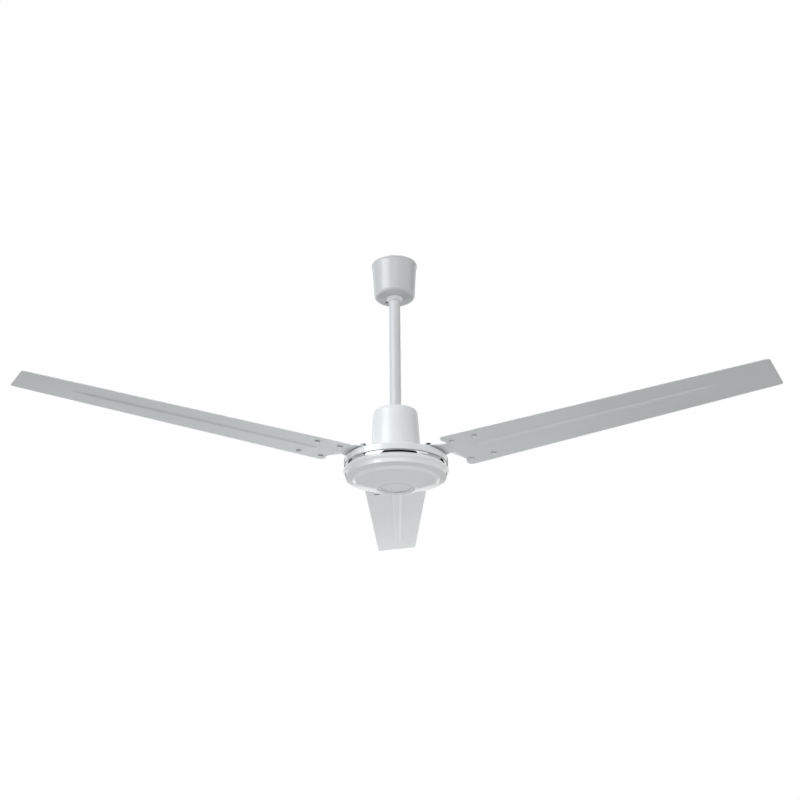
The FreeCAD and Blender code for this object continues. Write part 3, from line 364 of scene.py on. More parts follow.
def new_group(name, inputs, outputs):
    """Empty node group; inputs are (name, kind, value), outputs are (name, kind)."""
    tree = bpy.data.node_groups.new(name, "ShaderNodeTree")
    for label, kind, value in inputs:
        socket = tree.interface.new_socket(label, in_out="INPUT", socket_type=kind)
        socket.default_value = value
    for label, kind in outputs:
        tree.interface.new_socket(label, in_out="OUTPUT", socket_type=kind)
    return tree, add_node(tree, "NodeGroupInput"), add_node(tree, "NodeGroupOutput")


def noise(tree, scale, detail, place):
    node = add_node(tree, "ShaderNodeTexNoise")
    node.inputs["Detail"].default_value = detail
    if isinstance(scale, (int, float)):
        node.inputs["Scale"].default_value = scale
    else:
        tree.links.new(scale, node.inputs["Scale"])
    tree.links.new(place, node.inputs["Vector"])
    return node.outputs["Fac"]


def ranged(tree, value, low, high, to_low, to_high):
    """Map a value from one range to another, clamped."""
    node = add_node(tree, "ShaderNodeMapRange")
    for socket, amount in zip(("From Min", "From Max", "To Min", "To Max"), (low, high, to_low, to_high)):
        if isinstance(amount, (int, float)):
            node.inputs[socket].default_value = amount
        else:
            tree.links.new(amount, node.inputs[socket])
    tree.links.new(value, node.inputs["Value"])
    return node.outputs["Result"]


def maths(tree, operation, first, second):
    node = add_node(tree, "ShaderNodeMath", operation=operation)
    for socket, value in zip(node.inputs, (first, second)):
        if isinstance(value, (int, float)):
            socket.default_value = value
        else:
            tree.links.new(value, socket)
    return node.outputs["Value"]


def mixed(tree, share, first, second):
    """Mix two colours by a share."""
    node = add_node(tree, "ShaderNodeMix", data_type="RGBA")
    tree.links.new(share, node.inputs["Factor"])
    for socket, value in zip((node.inputs["A"], node.inputs["B"]), (first, second)):
        if isinstance(value, tuple):
            socket.default_value = (*value, 1)
        else:
            tree.links.new(value, socket)
    return node.outputs["Result"]


def object_place(tree):
    return add_node(tree, "ShaderNodeTexCoord").outputs["Object"]


# Effects that several finishes share


def make_enamel_skin():
    """Sprayed paint: fine orange peel over slow ripples, and a faint mottle of colour and gloss."""
    tree, inlet, outlet = new_group(
        "enamel_skin",
        [("Peel Scale", "NodeSocketFloat", 700.0), ("Ripple Scale", "NodeSocketFloat", 18.0)],
        [("Height", "NodeSocketFloat"), ("Mottle", "NodeSocketFloat")])
    place = object_place(tree)
    peel = noise(tree, inlet.outputs["Peel Scale"], 2.0, place)
    ripple = noise(tree, inlet.outputs["Ripple Scale"], 1.0, place)
    height = maths(tree, "ADD", maths(tree, "MULTIPLY", peel, 0.12), ripple)
    mottle = noise(tree, 7.0, 4.0, place)
    tree.links.new(height, outlet.inputs["Height"])
    tree.links.new(ranged(tree, mottle, 0.3, 0.7, 0.0, 1.0), outlet.inputs["Mottle"])
    return tree


def make_settled_dust():
    """Thin dust on what faces up."""
    tree, inlet, outlet = new_group(
        "settled_dust",
        [("Amount", "NodeSocketFloat", 0.3)],
        [("Mask", "NodeSocketFloat")])
    facing = add_node(tree, "ShaderNodeSeparateXYZ")
    geometry = add_node(tree, "ShaderNodeNewGeometry")
    tree.links.new(geometry.outputs["Normal"], facing.inputs["Vector"])
    upward = ranged(tree, facing.outputs["Z"], 0.55, 0.95, 0.0, 1.0)
    patches = ranged(tree, noise(tree, 60.0, 5.0, object_place(tree)), 0.3, 0.75, 0.25, 1.0)
    mask = maths(tree, "MULTIPLY", maths(tree, "MULTIPLY", upward, patches), inlet.outputs["Amount"])
    tree.links.new(mask, outlet.inputs["Mask"])
    return tree


def make_metal_grain():
    """Fine lines and clouds on bare or plated metal; the stretch sets the lines' direction."""
    tree, inlet, outlet = new_group(
        "metal_grain",
        [("Stretch", "NodeSocketVector", (600.0, 600.0, 40.0)), ("Cloud Scale", "NodeSocketFloat", 90.0)],
        [("Lines", "NodeSocketFloat"), ("Clouds", "NodeSocketFloat")])
    place = object_place(tree)
    stretched = add_node(tree, "ShaderNodeVectorMath", operation="MULTIPLY")
    tree.links.new(place, stretched.inputs[0])
    tree.links.new(inlet.outputs["Stretch"], stretched.inputs[1])
    lines = noise(tree, 1.0, 3.0, stretched.outputs["Vector"])
    clouds = noise(tree, inlet.outputs["Cloud Scale"], 4.0, place)
    tree.links.new(lines, outlet.inputs["Lines"])
    tree.links.new(clouds, outlet.inputs["Clouds"])
    return tree


def make_rough_skin():
    """Pebbled skin of castings, rubber and moulded plastic."""
    tree, inlet, outlet = new_group(
        "rough_skin",
        [("Grain Scale", "NodeSocketFloat", 900.0), ("Patch Scale", "NodeSocketFloat", 60.0)],
        [("Height", "NodeSocketFloat"), ("Patches", "NodeSocketFloat")])
    place = object_place(tree)
    grain = noise(tree, inlet.outputs["Grain Scale"], 3.0, place)
    patches = noise(tree, inlet.outputs["Patch Scale"], 3.0, place)
    height = maths(tree, "ADD", grain, maths(tree, "MULTIPLY", patches, 0.6))
    tree.links.new(height, outlet.inputs["Height"])
    tree.links.new(patches, outlet.inputs["Patches"])
    return tree


enamel_skin = make_enamel_skin()
settled_dust = make_settled_dust()
metal_grain = make_metal_grain()
rough_skin = make_rough_skin()


# Finishes


DUST = (0.62, 0.6, 0.57)
DUST_AMOUNT = 0.18
PEEL_STRENGTH = 0.35


def enamel(name, light, dark, roughness, ripple_scale, ripple_depth, coat):
    """Satin white enamel with a clear top coat."""
    finish = Finish(name, light, roughness)
    tree = finish.tree
    skin = finish.use(enamel_skin, Ripple_Scale=ripple_scale)
    dust = finish.use(settled_dust, Amount=DUST_AMOUNT)
    paint = mixed(tree, skin.outputs["Mottle"], dark, light)
    finish.feed(mixed(tree, dust.outputs["Mask"], paint, DUST), "Base Color")
    gloss = ranged(tree, skin.outputs["Mottle"], 0.0, 1.0, roughness + 0.05, roughness - 0.03)
    finish.feed(maths(tree, "ADD", gloss, maths(tree, "MULTIPLY", dust.outputs["Mask"], 0.5)), "Roughness")
    finish.set("Coat Weight", coat)
    finish.set("Coat Roughness", 0.08)
    finish.bump(skin.outputs["Height"], PEEL_STRENGTH, ripple_depth)
    return finish.material


def side_shaded_enamel(name, light, dark, side_shade, roughness):
    """Enamel whose upright sides are coloured dark as painted shade, for the sides of small heads."""
    finish = Finish(name, light, roughness)
    tree = finish.tree
    skin = finish.use(enamel_skin)
    facing = finish.add("ShaderNodeSeparateXYZ")
    finish.link(finish.add("ShaderNodeNewGeometry").outputs["Normal"], facing.inputs["Vector"])
    level = maths(tree, "ABSOLUTE", facing.outputs["Z"], 0.0)
    unshaded_share = ranged(tree, level, 0.45, 0.7, 0.0, 1.0)
    finish.feed(mixed(tree, unshaded_share, side_shade, mixed(tree, skin.outputs["Mottle"], dark, light)), "Base Color")
    finish.bump(skin.outputs["Height"], PEEL_STRENGTH, 0.0003)
    return finish.material


def plated(name, bright, dull, roughness, stretch, depth):
    """Plated or ground metal with fine lines and a cloudy gloss."""
    finish = Finish(name, bright, roughness, 1.0)
    tree = finish.tree
    grain = finish.use(metal_grain, Stretch=stretch)
    clouds = ranged(tree, grain.outputs["Clouds"], 0.3, 0.7, 0.0, 1.0)
    finish.feed(mixed(tree, clouds, dull, bright), "Base Color")
    finish.feed(ranged(tree, clouds, 0.0, 1.0, roughness * 1.35, roughness * 0.8), "Roughness")
    finish.bump(grain.outputs["Lines"], 0.25, depth)
    return finish.material


def moulded(name, light, dark, roughness, grain_scale, depth, metallic):
    """Moulded or cast skin with fine grain."""
    finish = Finish(name, light, roughness, metallic)
    tree = finish.tree
    skin = finish.use(rough_skin, Grain_Scale=grain_scale)
    patches = ranged(tree, skin.outputs["Patches"], 0.15, 0.85, 0.0, 1.0)
    finish.feed(mixed(tree, patches, dark, light), "Base Color")
    finish.feed(ranged(tree, patches, 0.0, 1.0, roughness * 1.15, roughness * 0.9), "Roughness")
    finish.bump(skin.outputs["Height"], 0.4, depth)
    return finish.material


def wound_copper():
    """Enamelled wire: close turns at even distances from the fan's axis, with painted shade in the grooves
    between them.
    """
    copper = (0.66, 0.29, 0.11)
    shade_between_turns = (0.22, 0.07, 0.025)
    finish = Finish("winding_wire", copper, 0.32, 1.0)
    tree = finish.tree
    turns = finish.add("ShaderNodeTexWave", wave_type="RINGS", rings_direction="Z")
    turns.inputs["Scale"].default_value = 330.0
    turns.inputs["Distortion"].default_value = 0.4
    finish.link(object_place(tree), turns.inputs["Vector"])
    finish.feed(mixed(tree, turns.outputs["Fac"], shade_between_turns, copper), "Base Color")
    finish.bump(turns.outputs["Fac"], 0.8, 0.0006)
    return finish.material


def stacked_sheet():
    """Core of thin steel sheets, seen as fine level lines."""
    steel = (0.34, 0.34, 0.36)
    between_sheets = (0.1, 0.1, 0.11)
    finish = Finish("lamination", steel, 0.45, 1.0)
    tree = finish.tree
    sheets = finish.add("ShaderNodeTexWave", wave_type="BANDS", bands_direction="Z")
    sheets.inputs["Scale"].default_value = 620.0
    sheets.inputs["Distortion"].default_value = 0.2
    finish.link(object_place(tree), sheets.inputs["Vector"])
    finish.feed(mixed(tree, sheets.outputs["Fac"], between_sheets, steel), "Base Color")
    finish.bump(sheets.outputs["Fac"], 0.5, 0.0003)
    return finish.material


WHITE = (0.8, 0.81, 0.812)
WHITE_SHADE = (0.765, 0.775, 0.777)
# Painted shade for the upright sides of the rivet heads
RIVET_SIDE_SHADE = (0.37, 0.37, 0.37)
EVEN_GRAIN = (900.0, 900.0, 900.0)

# Light colour, dark colour, roughness, scale of the ripples, their depth in metres, clear coat
ENAMELS = {
    "white_enamel": (WHITE, WHITE_SHADE, 0.34, 16.0, 0.0009, 0.2),
    # Canopy: a darker copy of the white enamel, as painted shade
    "canopy_enamel_painted_shade": ((0.63, 0.64, 0.645), (0.605, 0.615, 0.62), 0.3, 16.0, 0.0009, 0.25),
    # Rod: a darker copy of the white enamel, as painted shade
    "rod_enamel_painted_shade": ((0.69, 0.7, 0.705), (0.665, 0.675, 0.68), 0.32, 16.0, 0.0009, 0.2),
    # Cup: a lighter copy of the white enamel, as painted light
    "cup_enamel_painted_light": ((0.85, 0.86, 0.865), (0.825, 0.835, 0.84), 0.3, 16.0, 0.0009, 0.25),
    "cast_enamel": ((0.83, 0.84, 0.842), (0.8, 0.81, 0.812), 0.3, 30.0, 0.0005, 0.8),
    "badge_white": ((0.85, 0.86, 0.862), (0.835, 0.845, 0.847), 0.3, 40.0, 0.0001, 0.3),
}

# Bright colour, dull colour, roughness, stretch of the grain, its depth in metres
PLATED_METALS = {
    "chrome": ((0.82, 0.83, 0.84), (0.76, 0.77, 0.78), 0.06, (90.0, 90.0, 2600.0), 0.00002),
    "bright_steel": ((0.72, 0.72, 0.72), (0.6, 0.6, 0.61), 0.16, EVEN_GRAIN, 0.00006),
    "zinc_steel": ((0.66, 0.66, 0.64), (0.5, 0.51, 0.52), 0.34, (260.0, 1500.0, 260.0), 0.0001),
    "ground_steel": ((0.7, 0.7, 0.71), (0.6, 0.6, 0.61), 0.2, (60.0, 60.0, 2400.0), 0.00005),
    "terminal_brass": ((0.76, 0.58, 0.27), (0.62, 0.45, 0.2), 0.28, EVEN_GRAIN, 0.00006),
}

# Light colour, dark colour, roughness, scale of the grain, its depth in metres, metallic
MOULDED_SKINS = {
    "bush_white": ((0.77, 0.775, 0.77), (0.72, 0.725, 0.72), 0.36, 900.0, 0.00006, 0.0),
    "coupler_iron": ((0.3, 0.3, 0.31), (0.2, 0.2, 0.21), 0.5, 700.0, 0.0004, 0.9),
    "rubber": ((0.035, 0.035, 0.036), (0.02, 0.02, 0.021), 0.72, 1100.0, 0.0002, 0.0),
    "capacitor_case": ((0.72, 0.71, 0.68), (0.66, 0.65, 0.62), 0.5, 800.0, 0.00015, 0.0),
    "lead_sleeve": ((0.5, 0.05, 0.04), (0.4, 0.035, 0.03), 0.42, 1500.0, 0.00008, 0.0),
    "cage_metal": ((0.7, 0.71, 0.72), (0.6, 0.61, 0.62), 0.4, 600.0, 0.0003, 1.0),
}


def make_finishes():
    """Every finish of the fan, by name."""
    made = {name: enamel(name, *values) for name, values in ENAMELS.items()}
    for name, values in PLATED_METALS.items():
        made[name] = plated(name, *values)
    for name, values in MOULDED_SKINS.items():
        made[name] = moulded(name, *values)
    # Rivet heads: white enamel with painted shade on their upright sides
    made["rivet_enamel_side_shade"] = side_shaded_enamel("rivet_enamel_side_shade", WHITE, WHITE_SHADE, RIVET_SIDE_SHADE, 0.34)
    made["winding_wire"] = wound_copper()
    made["lamination"] = stacked_sheet()
    return made


finishes = make_finishes()


# Canopy, its bush and the cup


CANOPY_SLOT_CENTRE = (21.8, 0, -78.2)
CANOPY_SLOT_SIZE = (10, 4.5, 8)
CANOPY_SLOT_AZIMUTH = 135


def make_canopy():
    """Canopy with a rolled mouth, and a short slot in its floor."""
    canopy = turned("canopy_shell", [
        (43.0, -4.0, 0.4), (46.0, -4.0, 0.9), (46.0, -6.9, 1.1), (44.45, -8.2, 1.4),
        (42.4, -39.3, 0), (40.16, -79.04, 7.5), (13.69, -79.04, 0.35), (13.69, -77.44, 0.3),
        (38.56, -77.44, 5.9), (40.8, -39.3, 0), (43.0, -7.5, 0),
    ], parts=7)
    cutter = cutter_block(CANOPY_SLOT_CENTRE, CANOPY_SLOT_SIZE)
    bpy.ops.object.mode_set(mode="EDIT")
    bpy.ops.mesh.select_all(action="SELECT")
    bpy.ops.transform.rotate(
        value=math.radians(-CANOPY_SLOT_AZIMUTH), orient_axis="Z", center_override=(0, 0, 0))
    bpy.ops.object.mode_set(mode="OBJECT")
    cut(canopy, cutter)
    smooth(canopy, 40)
    # Its enamel is a darker copy of the white, as painted shade.
    settle(canopy, "canopy", "white_enamel", finishes["canopy_enamel_painted_shade"], "canopy")


def make_bush():
    """Plastic bush that snaps into the canopy's floor and grips the rod."""
    bush = turned("canopy_collar", [
        (11.06, -86.64, 0.3), (12.56, -86.64, 0.6), (15.71, -81.64, 1.2), (16.46, -79.04, 0.4),
        (13.66, -79.04, 0), (13.66, -77.44, 0), (16.46, -77.44, 0.4), (16.46, -72.24, 0.8),
        (11.06, -72.24, 0.4),
    ], steps=72)
    smooth(bush)
    settle(bush, "canopy", "bush_white", finishes["bush_white"], "canopy_bush")


def make_cup():
    """Cup over the coupling, with a short collar inside for its grip ring."""
    cup = turned("rod_cup", [
        (11.36, -324.8, 0.4), (42.245, -324.8, 8.0), (47.645, -417.6, 0.6), (46.045, -417.6, 0.4),
        (40.645, -326.4, 6.4), (17.49, -326.4, 0.3), (17.49, -336.4, 0.4), (15.09, -336.4, 0.3),
        (15.09, -326.4, 0), (11.36, -326.4, 0.2),
    ], parts=8)
    smooth(cup)
    # Its enamel is a lighter copy of the white, as painted light.
    settle(cup, "coupling_cover", "white_enamel", finishes["cup_enamel_painted_light"], "coupling_cover")


# Motor housing


def on_arm_seat(centre, normal):
    """Whether a face of the motor's top belongs to the seat of a blade arm."""
    return (
        normal.z > 0.99 and SEAT_INNER * MM < centre.xy.length < SEAT_OUTER * MM
        and any(abs(azimuth_from(centre, azimuth)) < SEAT_HALF_ANGLE for azimuth in BLADE_AZIMUTHS))


def make_top_cover():
    """Upper half of the housing, with the upper bearing's socket and a raised seat under each arm."""
    cover = turned("motor_top", [
        (9.5, -421.0, 0.6), (46.03, -421.0, 4.0), (65.06, MOTOR_TOP, 4.0), (SEAT_INNER, MOTOR_TOP, 0),
        (SEAT_OUTER, MOTOR_TOP, 0), (98.56, MOTOR_TOP, 2.4), (98.56, -437.2, 0.5), (96.03, -437.2, 0),
        (96.03, -441.6, 0), (93.53, -441.6, 0),
        (93.53, -426.5, 1.0), (65.06, -426.5, 0), (46.03, -423.5, 0), (21.53, -423.5, 0),
        (21.53, -434.5, 0), (17.53, -434.5, 0), (17.53, -423.5, 0), (9.5, -423.5, 0.4),
    ], steps=180)
    activate(cover)
    bpy.ops.object.mode_set(mode="EDIT")
    select_faces(cover, on_arm_seat)
    bpy.ops.mesh.extrude_region_move(TRANSFORM_OT_translate={"value": (0, 0, SEAT_HEIGHT * MM)})
    bpy.ops.object.mode_set(mode="OBJECT")
    smooth(cover)
    settle(cover, "rotor", "cast_enamel", finishes["cast_enamel"], "top_cover")


def make_bottom_cover():
    """Lower half of the housing; its outline runs from the badge's recess outwards, and back inside."""
    cover = turned("motor_bottom", [
        (10.0, -477.3, 0), (28.6, -477.3, 0.3), (29.3, -481.8, 0.6), (37.0, -481.8, 1.4),
        (38.5, -480.3, 1.2), (76.2, -468.9, 1.2), (82.46, -464.0, 0.8), (95.46, -461.2, 0.6),
        (95.46, -453.06, 5.1), (99.46, -449.94, 5.1), (99.46, -446.0, 1.2), (96.03, -446.0, 0),
        (96.03, -441.6, 0), (93.53, -441.6, 0),
        (93.53, -447.4, 0), (92.96, -458.7, 0), (87.03, -458.7, 0), (87.03, -441.9, 0),
        (84.03, -441.9, 0), (84.03, -456.0, 0), (81.0, -456.0, 0), (81.0, -461.7, 0),
        (75.06, -466.1, 0), (37.0, -479.3, 0), (31.8, -479.3, 0), (31.8, -474.8, 0),
        (21.53, -474.8, 0), (21.53, -459.5, 0), (17.53, -459.5, 0), (17.53, -470.5, 0),
        (14.8, -470.5, 0), (14.8, -474.8, 0), (10.0, -474.8, 0),
    ], closed=False, steps=180)
    smooth(cover)
    settle(cover, "rotor", "cast_enamel", finishes["cast_enamel"], "bottom_cover")


def make_badge():
    """Plain disc, slightly domed, in the recess under the motor."""
    badge = turned("badge_plate", [
        (2.0, -479.25, 0), (10.0, -479.2, 0), (19.0, -479.05, 0), (26.5, -478.75, 0),
        (28.3, -478.55, 0.5), (28.3, -477.3, 0),
    ], closed=False, steps=96)
    smooth(badge, 40)
    settle(badge, "rotor", "badge_white", finishes["badge_white"], "badge_disc")


def make_band():
    """Bright band between the two halves of the housing."""
    band = turned("bright_band", [
        (96.06, -437.2, 0), (96.6, -437.2, 0.15), (97.1, -438.4, 0), (97.32, -439.9, 0),
        (97.4, -441.6, 0), (97.32, -443.3, 0), (97.1, -444.8, 0), (96.6, -446.0, 0.15),
        (96.06, -446.0, 0),
    ], steps=240)
    smooth(band)
    settle(band, "rotor", "chrome", finishes["chrome"], "chrome_band")


# Blades, arms and fasteners


# A blade's rib: distance from the axis, half width and depth at each station; treads are shares of the width
PLAIN_RIB = ((177.06, 9.0, 1.4), (590.0, 3.5, 0.7), (620.0, 1.2, 0.1))
PLAIN_TREAD = 0.6
PRESSED_RIB = ((177.06, 10.5, 1.9), (590.0, 8.0, 1.5), (620.0, 5.0, 0.1))
PRESSED_TREAD = 0.45
RIB_ASIDE = -1.5
RIB_MARGIN = 0.01


def blade_place(azimuth, x, y):
    """Place on a blade's underside: x runs along the blade, y across it, in millimetres."""
    turn = Matrix.Rotation(math.radians(azimuth), 4, "Z")
    drop = Matrix.Translation((0, 0, BLADE_LEVEL * MM))
    rise = Matrix.Rotation(math.radians(-BLADE_RISE), 4, "Y")
    pitch = Matrix.Rotation(math.radians(-BLADE_PITCH), 4, "X")
    return turn @ drop @ (rise @ pitch) @ Matrix.Translation((x * MM, y * MM, 0))


def rib_size(x, stations):
    """Half width and depth of a blade's rib at a distance from the fan's axis."""
    for (low, low_half, low_depth), (high, high_half, high_depth) in zip(stations, stations[1:]):
        if x <= high:
            break
    share = min(max((x - low) / (high - low), 0.0), 1.0)
    return low_half + (high_half - low_half) * share, low_depth + (high_depth - low_depth) * share


def press_rib(piece, azimuth):
    """Press a blade's rib broader and deeper, with longer sides."""
    to_blade = blade_place(azimuth, 0, 0).inverted() @ piece.matrix_world
    from_blade = to_blade.inverted()
    rib_start = PLAIN_RIB[0][0]
    rib_end = PLAIN_RIB[-1][0]
    for vertex in piece.data.vertices:
        x, y, z = (to_blade @ vertex.co) / MM
        nose = min(x - rib_start, 0.0)
        reach = math.hypot(nose, y)
        half, depth = rib_size(x, PLAIN_RIB)
        if x > rib_end + RIB_MARGIN or reach > half + RIB_MARGIN:
            continue
        across = reach / half
        fall = min((1 - across) / (1 - PLAIN_TREAD), 1.0)
        sheet_face = 0.0 if abs(z + depth * fall) < BLADE_SHEET / 2 else BLADE_SHEET
        half, depth = rib_size(x, PRESSED_RIB)
        if across <= PLAIN_TREAD:
            across = across * PRESSED_TREAD / PLAIN_TREAD
        else:
            across = 1 - (1 - across) * (1 - PRESSED_TREAD) / (1 - PLAIN_TREAD)
        spread = across * half / reach if reach else 1.0
        moved = Vector((x + nose * (spread - 1), y * spread + RIB_ASIDE, sheet_face - depth * fall))
        vertex.co = from_blade @ (moved * MM)


# Places of the fasteners: along and across a blade, and round the motor's top
RIVETS_ALONG = (140.06, 186.06)
RIVETS_ACROSS = (-40, 40)
SCREW_CIRCLE = 90.28
SCREW_SPREAD = 25
SCREW_STOP = 2.3
BETWEEN_BLADES = 60
BOLT_CIRCLE = 85
BOLT_SEAT = -418.8
BOLT_HALF_WIDTH = 5
BOLT_HEAD = 4.6

# Azimuth of each arm bolt, and the angle at which its head stopped
BOLT_TURNS = ((75, 12), (105, 47), (195, 20), (225, -6.5), (315, 30), (345, 55))


def make_rivets():
    """Painted rivets: a round head under the blade, the shank, and a flatter tail on the arm."""
    rivet = turned("rivet", [
        (0.6, -3.18, 0), (2.0, -3.1, 0), (3.0, -2.92, 0), (3.8, -2.6, 0), (4.4, -2.15, 0),
        (4.75, -1.6, 0), (4.9, -0.9, 0), (4.9, -0.2, 0), (4.6, 0.0, 0), (2.0, 0.0, 0), (2.0, 2.6, 0),
        (4.6, 2.6, 0), (4.5, 3.1, 0), (3.6, 3.75, 0), (2.2, 4.05, 0), (0.9, 4.1, 0),
    ], closed=False, steps=40)
    for number, azimuth in enumerate(BLADE_AZIMUTHS, start=1):
        copies = []
        for x in RIVETS_ALONG:
            for y in RIVETS_ACROSS:
                copies.append(copy_of(rivet, "rivet_copy"))
                put_at(copies[-1], blade_place(azimuth, x, y))
        rivets = joined(f"rivets_{number}", copies)
        smooth(rivets, 40)
        # The heads' upright sides carry painted shade.
        settle(rivets, "rotor", "white_enamel", finishes["rivet_enamel_side_shade"], f"blade_rivets_{number}")
    bpy.data.objects.remove(rivet)


def make_housing_screws():
    """Pan-head screws with a cross recess, between the arms; each stopped at an angle of its own."""
    screw = turned("screw", [
        (0.6, 2.1, 0), (2.2, 1.98, 0), (3.2, 1.6, 0), (3.7, 1.0, 0), (3.8, 0.35, 0), (3.65, 0.0, 0),
        (2.0, 0.0, 0), (2.0, -24.0, 0), (1.4, -25.5, 0),
    ], closed=False, steps=40)
    for width, length in ((0.95, 4.2), (4.2, 0.95)):
        cut(screw, cutter_block((0, 0, 2.0), (width, length, 2.6)))
    copies = []
    for azimuth in BLADE_AZIMUTHS:
        for spread in (-SCREW_SPREAD, SCREW_SPREAD):
            screw_azimuth = azimuth + BETWEEN_BLADES + spread
            stop = Matrix.Rotation(SCREW_STOP * math.radians(screw_azimuth), 4, "Z")
            copies.append(copy_of(screw, "screw_copy"))
            put_at(copies[-1], spot_on_circle(SCREW_CIRCLE, screw_azimuth, MOTOR_TOP) @ stop)
    bpy.data.objects.remove(screw)
    screws = joined("cover_screws", copies)
    smooth(screws, 35)
    settle(screws, "rotor", "bright_steel", finishes["bright_steel"], "housing_screws")


def make_arm_bolts():
    """Hexagon bolts with a broken top edge; each was tightened to its own angle."""
    corner_radius = BOLT_HALF_WIDTH * MM / math.cos(math.radians(30))
    deselect()
    bpy.ops.mesh.primitive_cylinder_add(
        vertices=6, radius=corner_radius, depth=BOLT_HEAD * MM, location=(0, 0, BOLT_HEAD / 2 * MM))
    head = bpy.context.object
    bpy.ops.object.transform_apply()
    bpy.ops.object.mode_set(mode="EDIT")
    select_faces(head, lambda centre, normal: normal.z > 0.9)
    bpy.ops.mesh.bevel(offset=0.6 * MM, segments=2, affect="EDGES")
    bpy.ops.object.mode_set(mode="OBJECT")
    soften(head, 0.22, 40)
    shank = turned("bolt_shank", [
        (2.4, 0.3, 0), (2.95, 0.2, 0), (2.95, -15.0, 0), (2.3, -16.0, 0),
    ], closed=False, steps=32)
    smooth(shank, 40)
    bolt = joined("bolt", [head, shank])
    copies = []
    for azimuth, turn in BOLT_TURNS:
        stop = Matrix.Rotation(math.radians(turn), 4, "Z")
        copies.append(copy_of(bolt, "bolt_copy"))
        put_at(copies[-1], spot_on_circle(BOLT_CIRCLE, azimuth, BOLT_SEAT) @ stop)
    bpy.data.objects.remove(bolt)
    bolts = joined("hexagon_bolts", copies)
    settle(bolts, "rotor", "bright_steel", finishes["bright_steel"], "arm_bolts")


# Levels on the route of the motor leads, and where they enter the terminal block
WINDING_LEVEL = -457.75
WINDOW_LEVEL = -395.5
TERMINAL_X = -25.03
LEAD_RADIUS = 0.8


def make_leads():
    """Sleeved wires from the windings up the shaft's bore, out of the coupler and into the terminals."""
    wires = []
    for turn in (-1, 0, 1):
        line = bpy.data.curves.new("lead", "CURVE")
        line.dimensions = "3D"
        line.bevel_depth = LEAD_RADIUS * MM
        line.bevel_resolution = 4
        line.use_fill_caps = True
        spline = line.splines.new("NURBS")
        inner = 2.4 * turn
        outer = 8.5 * turn
        route = (
            (-36, inner, WINDING_LEVEL), (0, inner, WINDING_LEVEL),
            (0, inner, WINDOW_LEVEL), (-13, inner * 1.6, WINDOW_LEVEL),
            (TERMINAL_X, outer, -393.0), (TERMINAL_X, outer, -399.5), (TERMINAL_X, outer, -407.0),
        )
        spline.points.add(len(route) - 1)
        for point, (x, y, z) in zip(spline.points, route):
            point.co = (x * MM, y * MM, z * MM, 1)
        spline.order_u = 3
        spline.use_endpoint_u = True
        spline.resolution_u = 10
        wire = bpy.data.objects.new("lead", line)
        bpy.context.scene.collection.objects.link(wire)
        activate(wire)
        bpy.ops.object.convert(target="MESH")
        wires.append(bpy.context.object)
    leads = joined("sleeved_leads", wires)
    smooth(leads, 60)
    settle(leads, "hanging_rod", "lead_sleeve", finishes["lead_sleeve"], "motor_leads")


# Pressed sheets besides the blades, with the rounds of their bends and of their cut edges
SHEETS = {
    "blade_arm_1": (1.5, 0.3), "blade_arm_2": (1.5, 0.3), "blade_arm_3": (1.5, 0.3),
    "ceiling_bracket": (0.8, 0.35), "wiring_tray": (0.8, 0.3),
}

# Forged, cut and moulded pieces, with the round of their edges
SOLIDS = {
    "arm_lock_washers": 0.2, "hanger_bolt": 0.35, "hanger_nut": 0.35,
    "shackle": 0.5, "shackle_bolt": 0.35, "shackle_nut": 0.35, "hanger_roller": 0.6,
    "shaft_coupler": 0.5, "coupling_bolt": 0.35, "coupling_nut": 0.35, "cover_grip_ring": 0.4,
    "capacitor": 0.8, "capacitor_clamp": 0.25, "terminal_block": 0.3,
}


def make_blades():
    """Blades with a clear rib and rounded edges."""
    for number, azimuth in enumerate(BLADE_AZIMUTHS, start=1):
        blade = solid_copy(f"blade_{number}")
        press_rib(blade, azimuth)
        finish_sheet(blade, f"blade_{number}", 0.5, 0.25)


def make_fittings():
    """Pieces whose edges are only rounded."""
    for node, (crease, edge) in SHEETS.items():
        finish_sheet(solid_copy(node), node, crease, edge)
    for node, width in SOLIDS.items():
        finish_solid(node, width)


make_canopy()
make_bush()
make_cup()
make_top_cover()
make_bottom_cover()
make_badge()
make_band()
make_rivets()
make_housing_screws()
make_arm_bolts()
make_leads()
make_blades()
make_fittings()


# Nodes that keep their own shape


def dress_nodes():
    """Give every node the finish of its slot; the rod has a darker copy of the white enamel, as painted
    shade.
    """
    for name, node in nodes.items():
        finish = "rod_enamel_painted_shade" if name == "down_rod" else slots[name]
        node.data.materials.clear()
        node.data.materials.append(finishes[finish])


dress_nodes()


# Studio


# Camera of the photograph: place in metres, turns in radians, lens in millimetres
CAMERA_PLACE = (0.0016, -2.0156, -1.1466)
CAMERA_TURN = 0.0106
CAMERA_PITCH = 0.3974
CAMERA_ROLL = -0.0047
CAMERA_LENS = 50.597
CAMERA_SHIFT = 0.018375

# Middle of the motor, and of the back blade
MOTOR_MIDDLE = (0, 0, -0.42)
BACK_BLADE = (0, 0.5, -0.43)

COOL = (0.95, 0.99, 1.01)
WARM = (1.0, 0.99, 0.975)
PALE = (0.98, 0.99, 1.0)

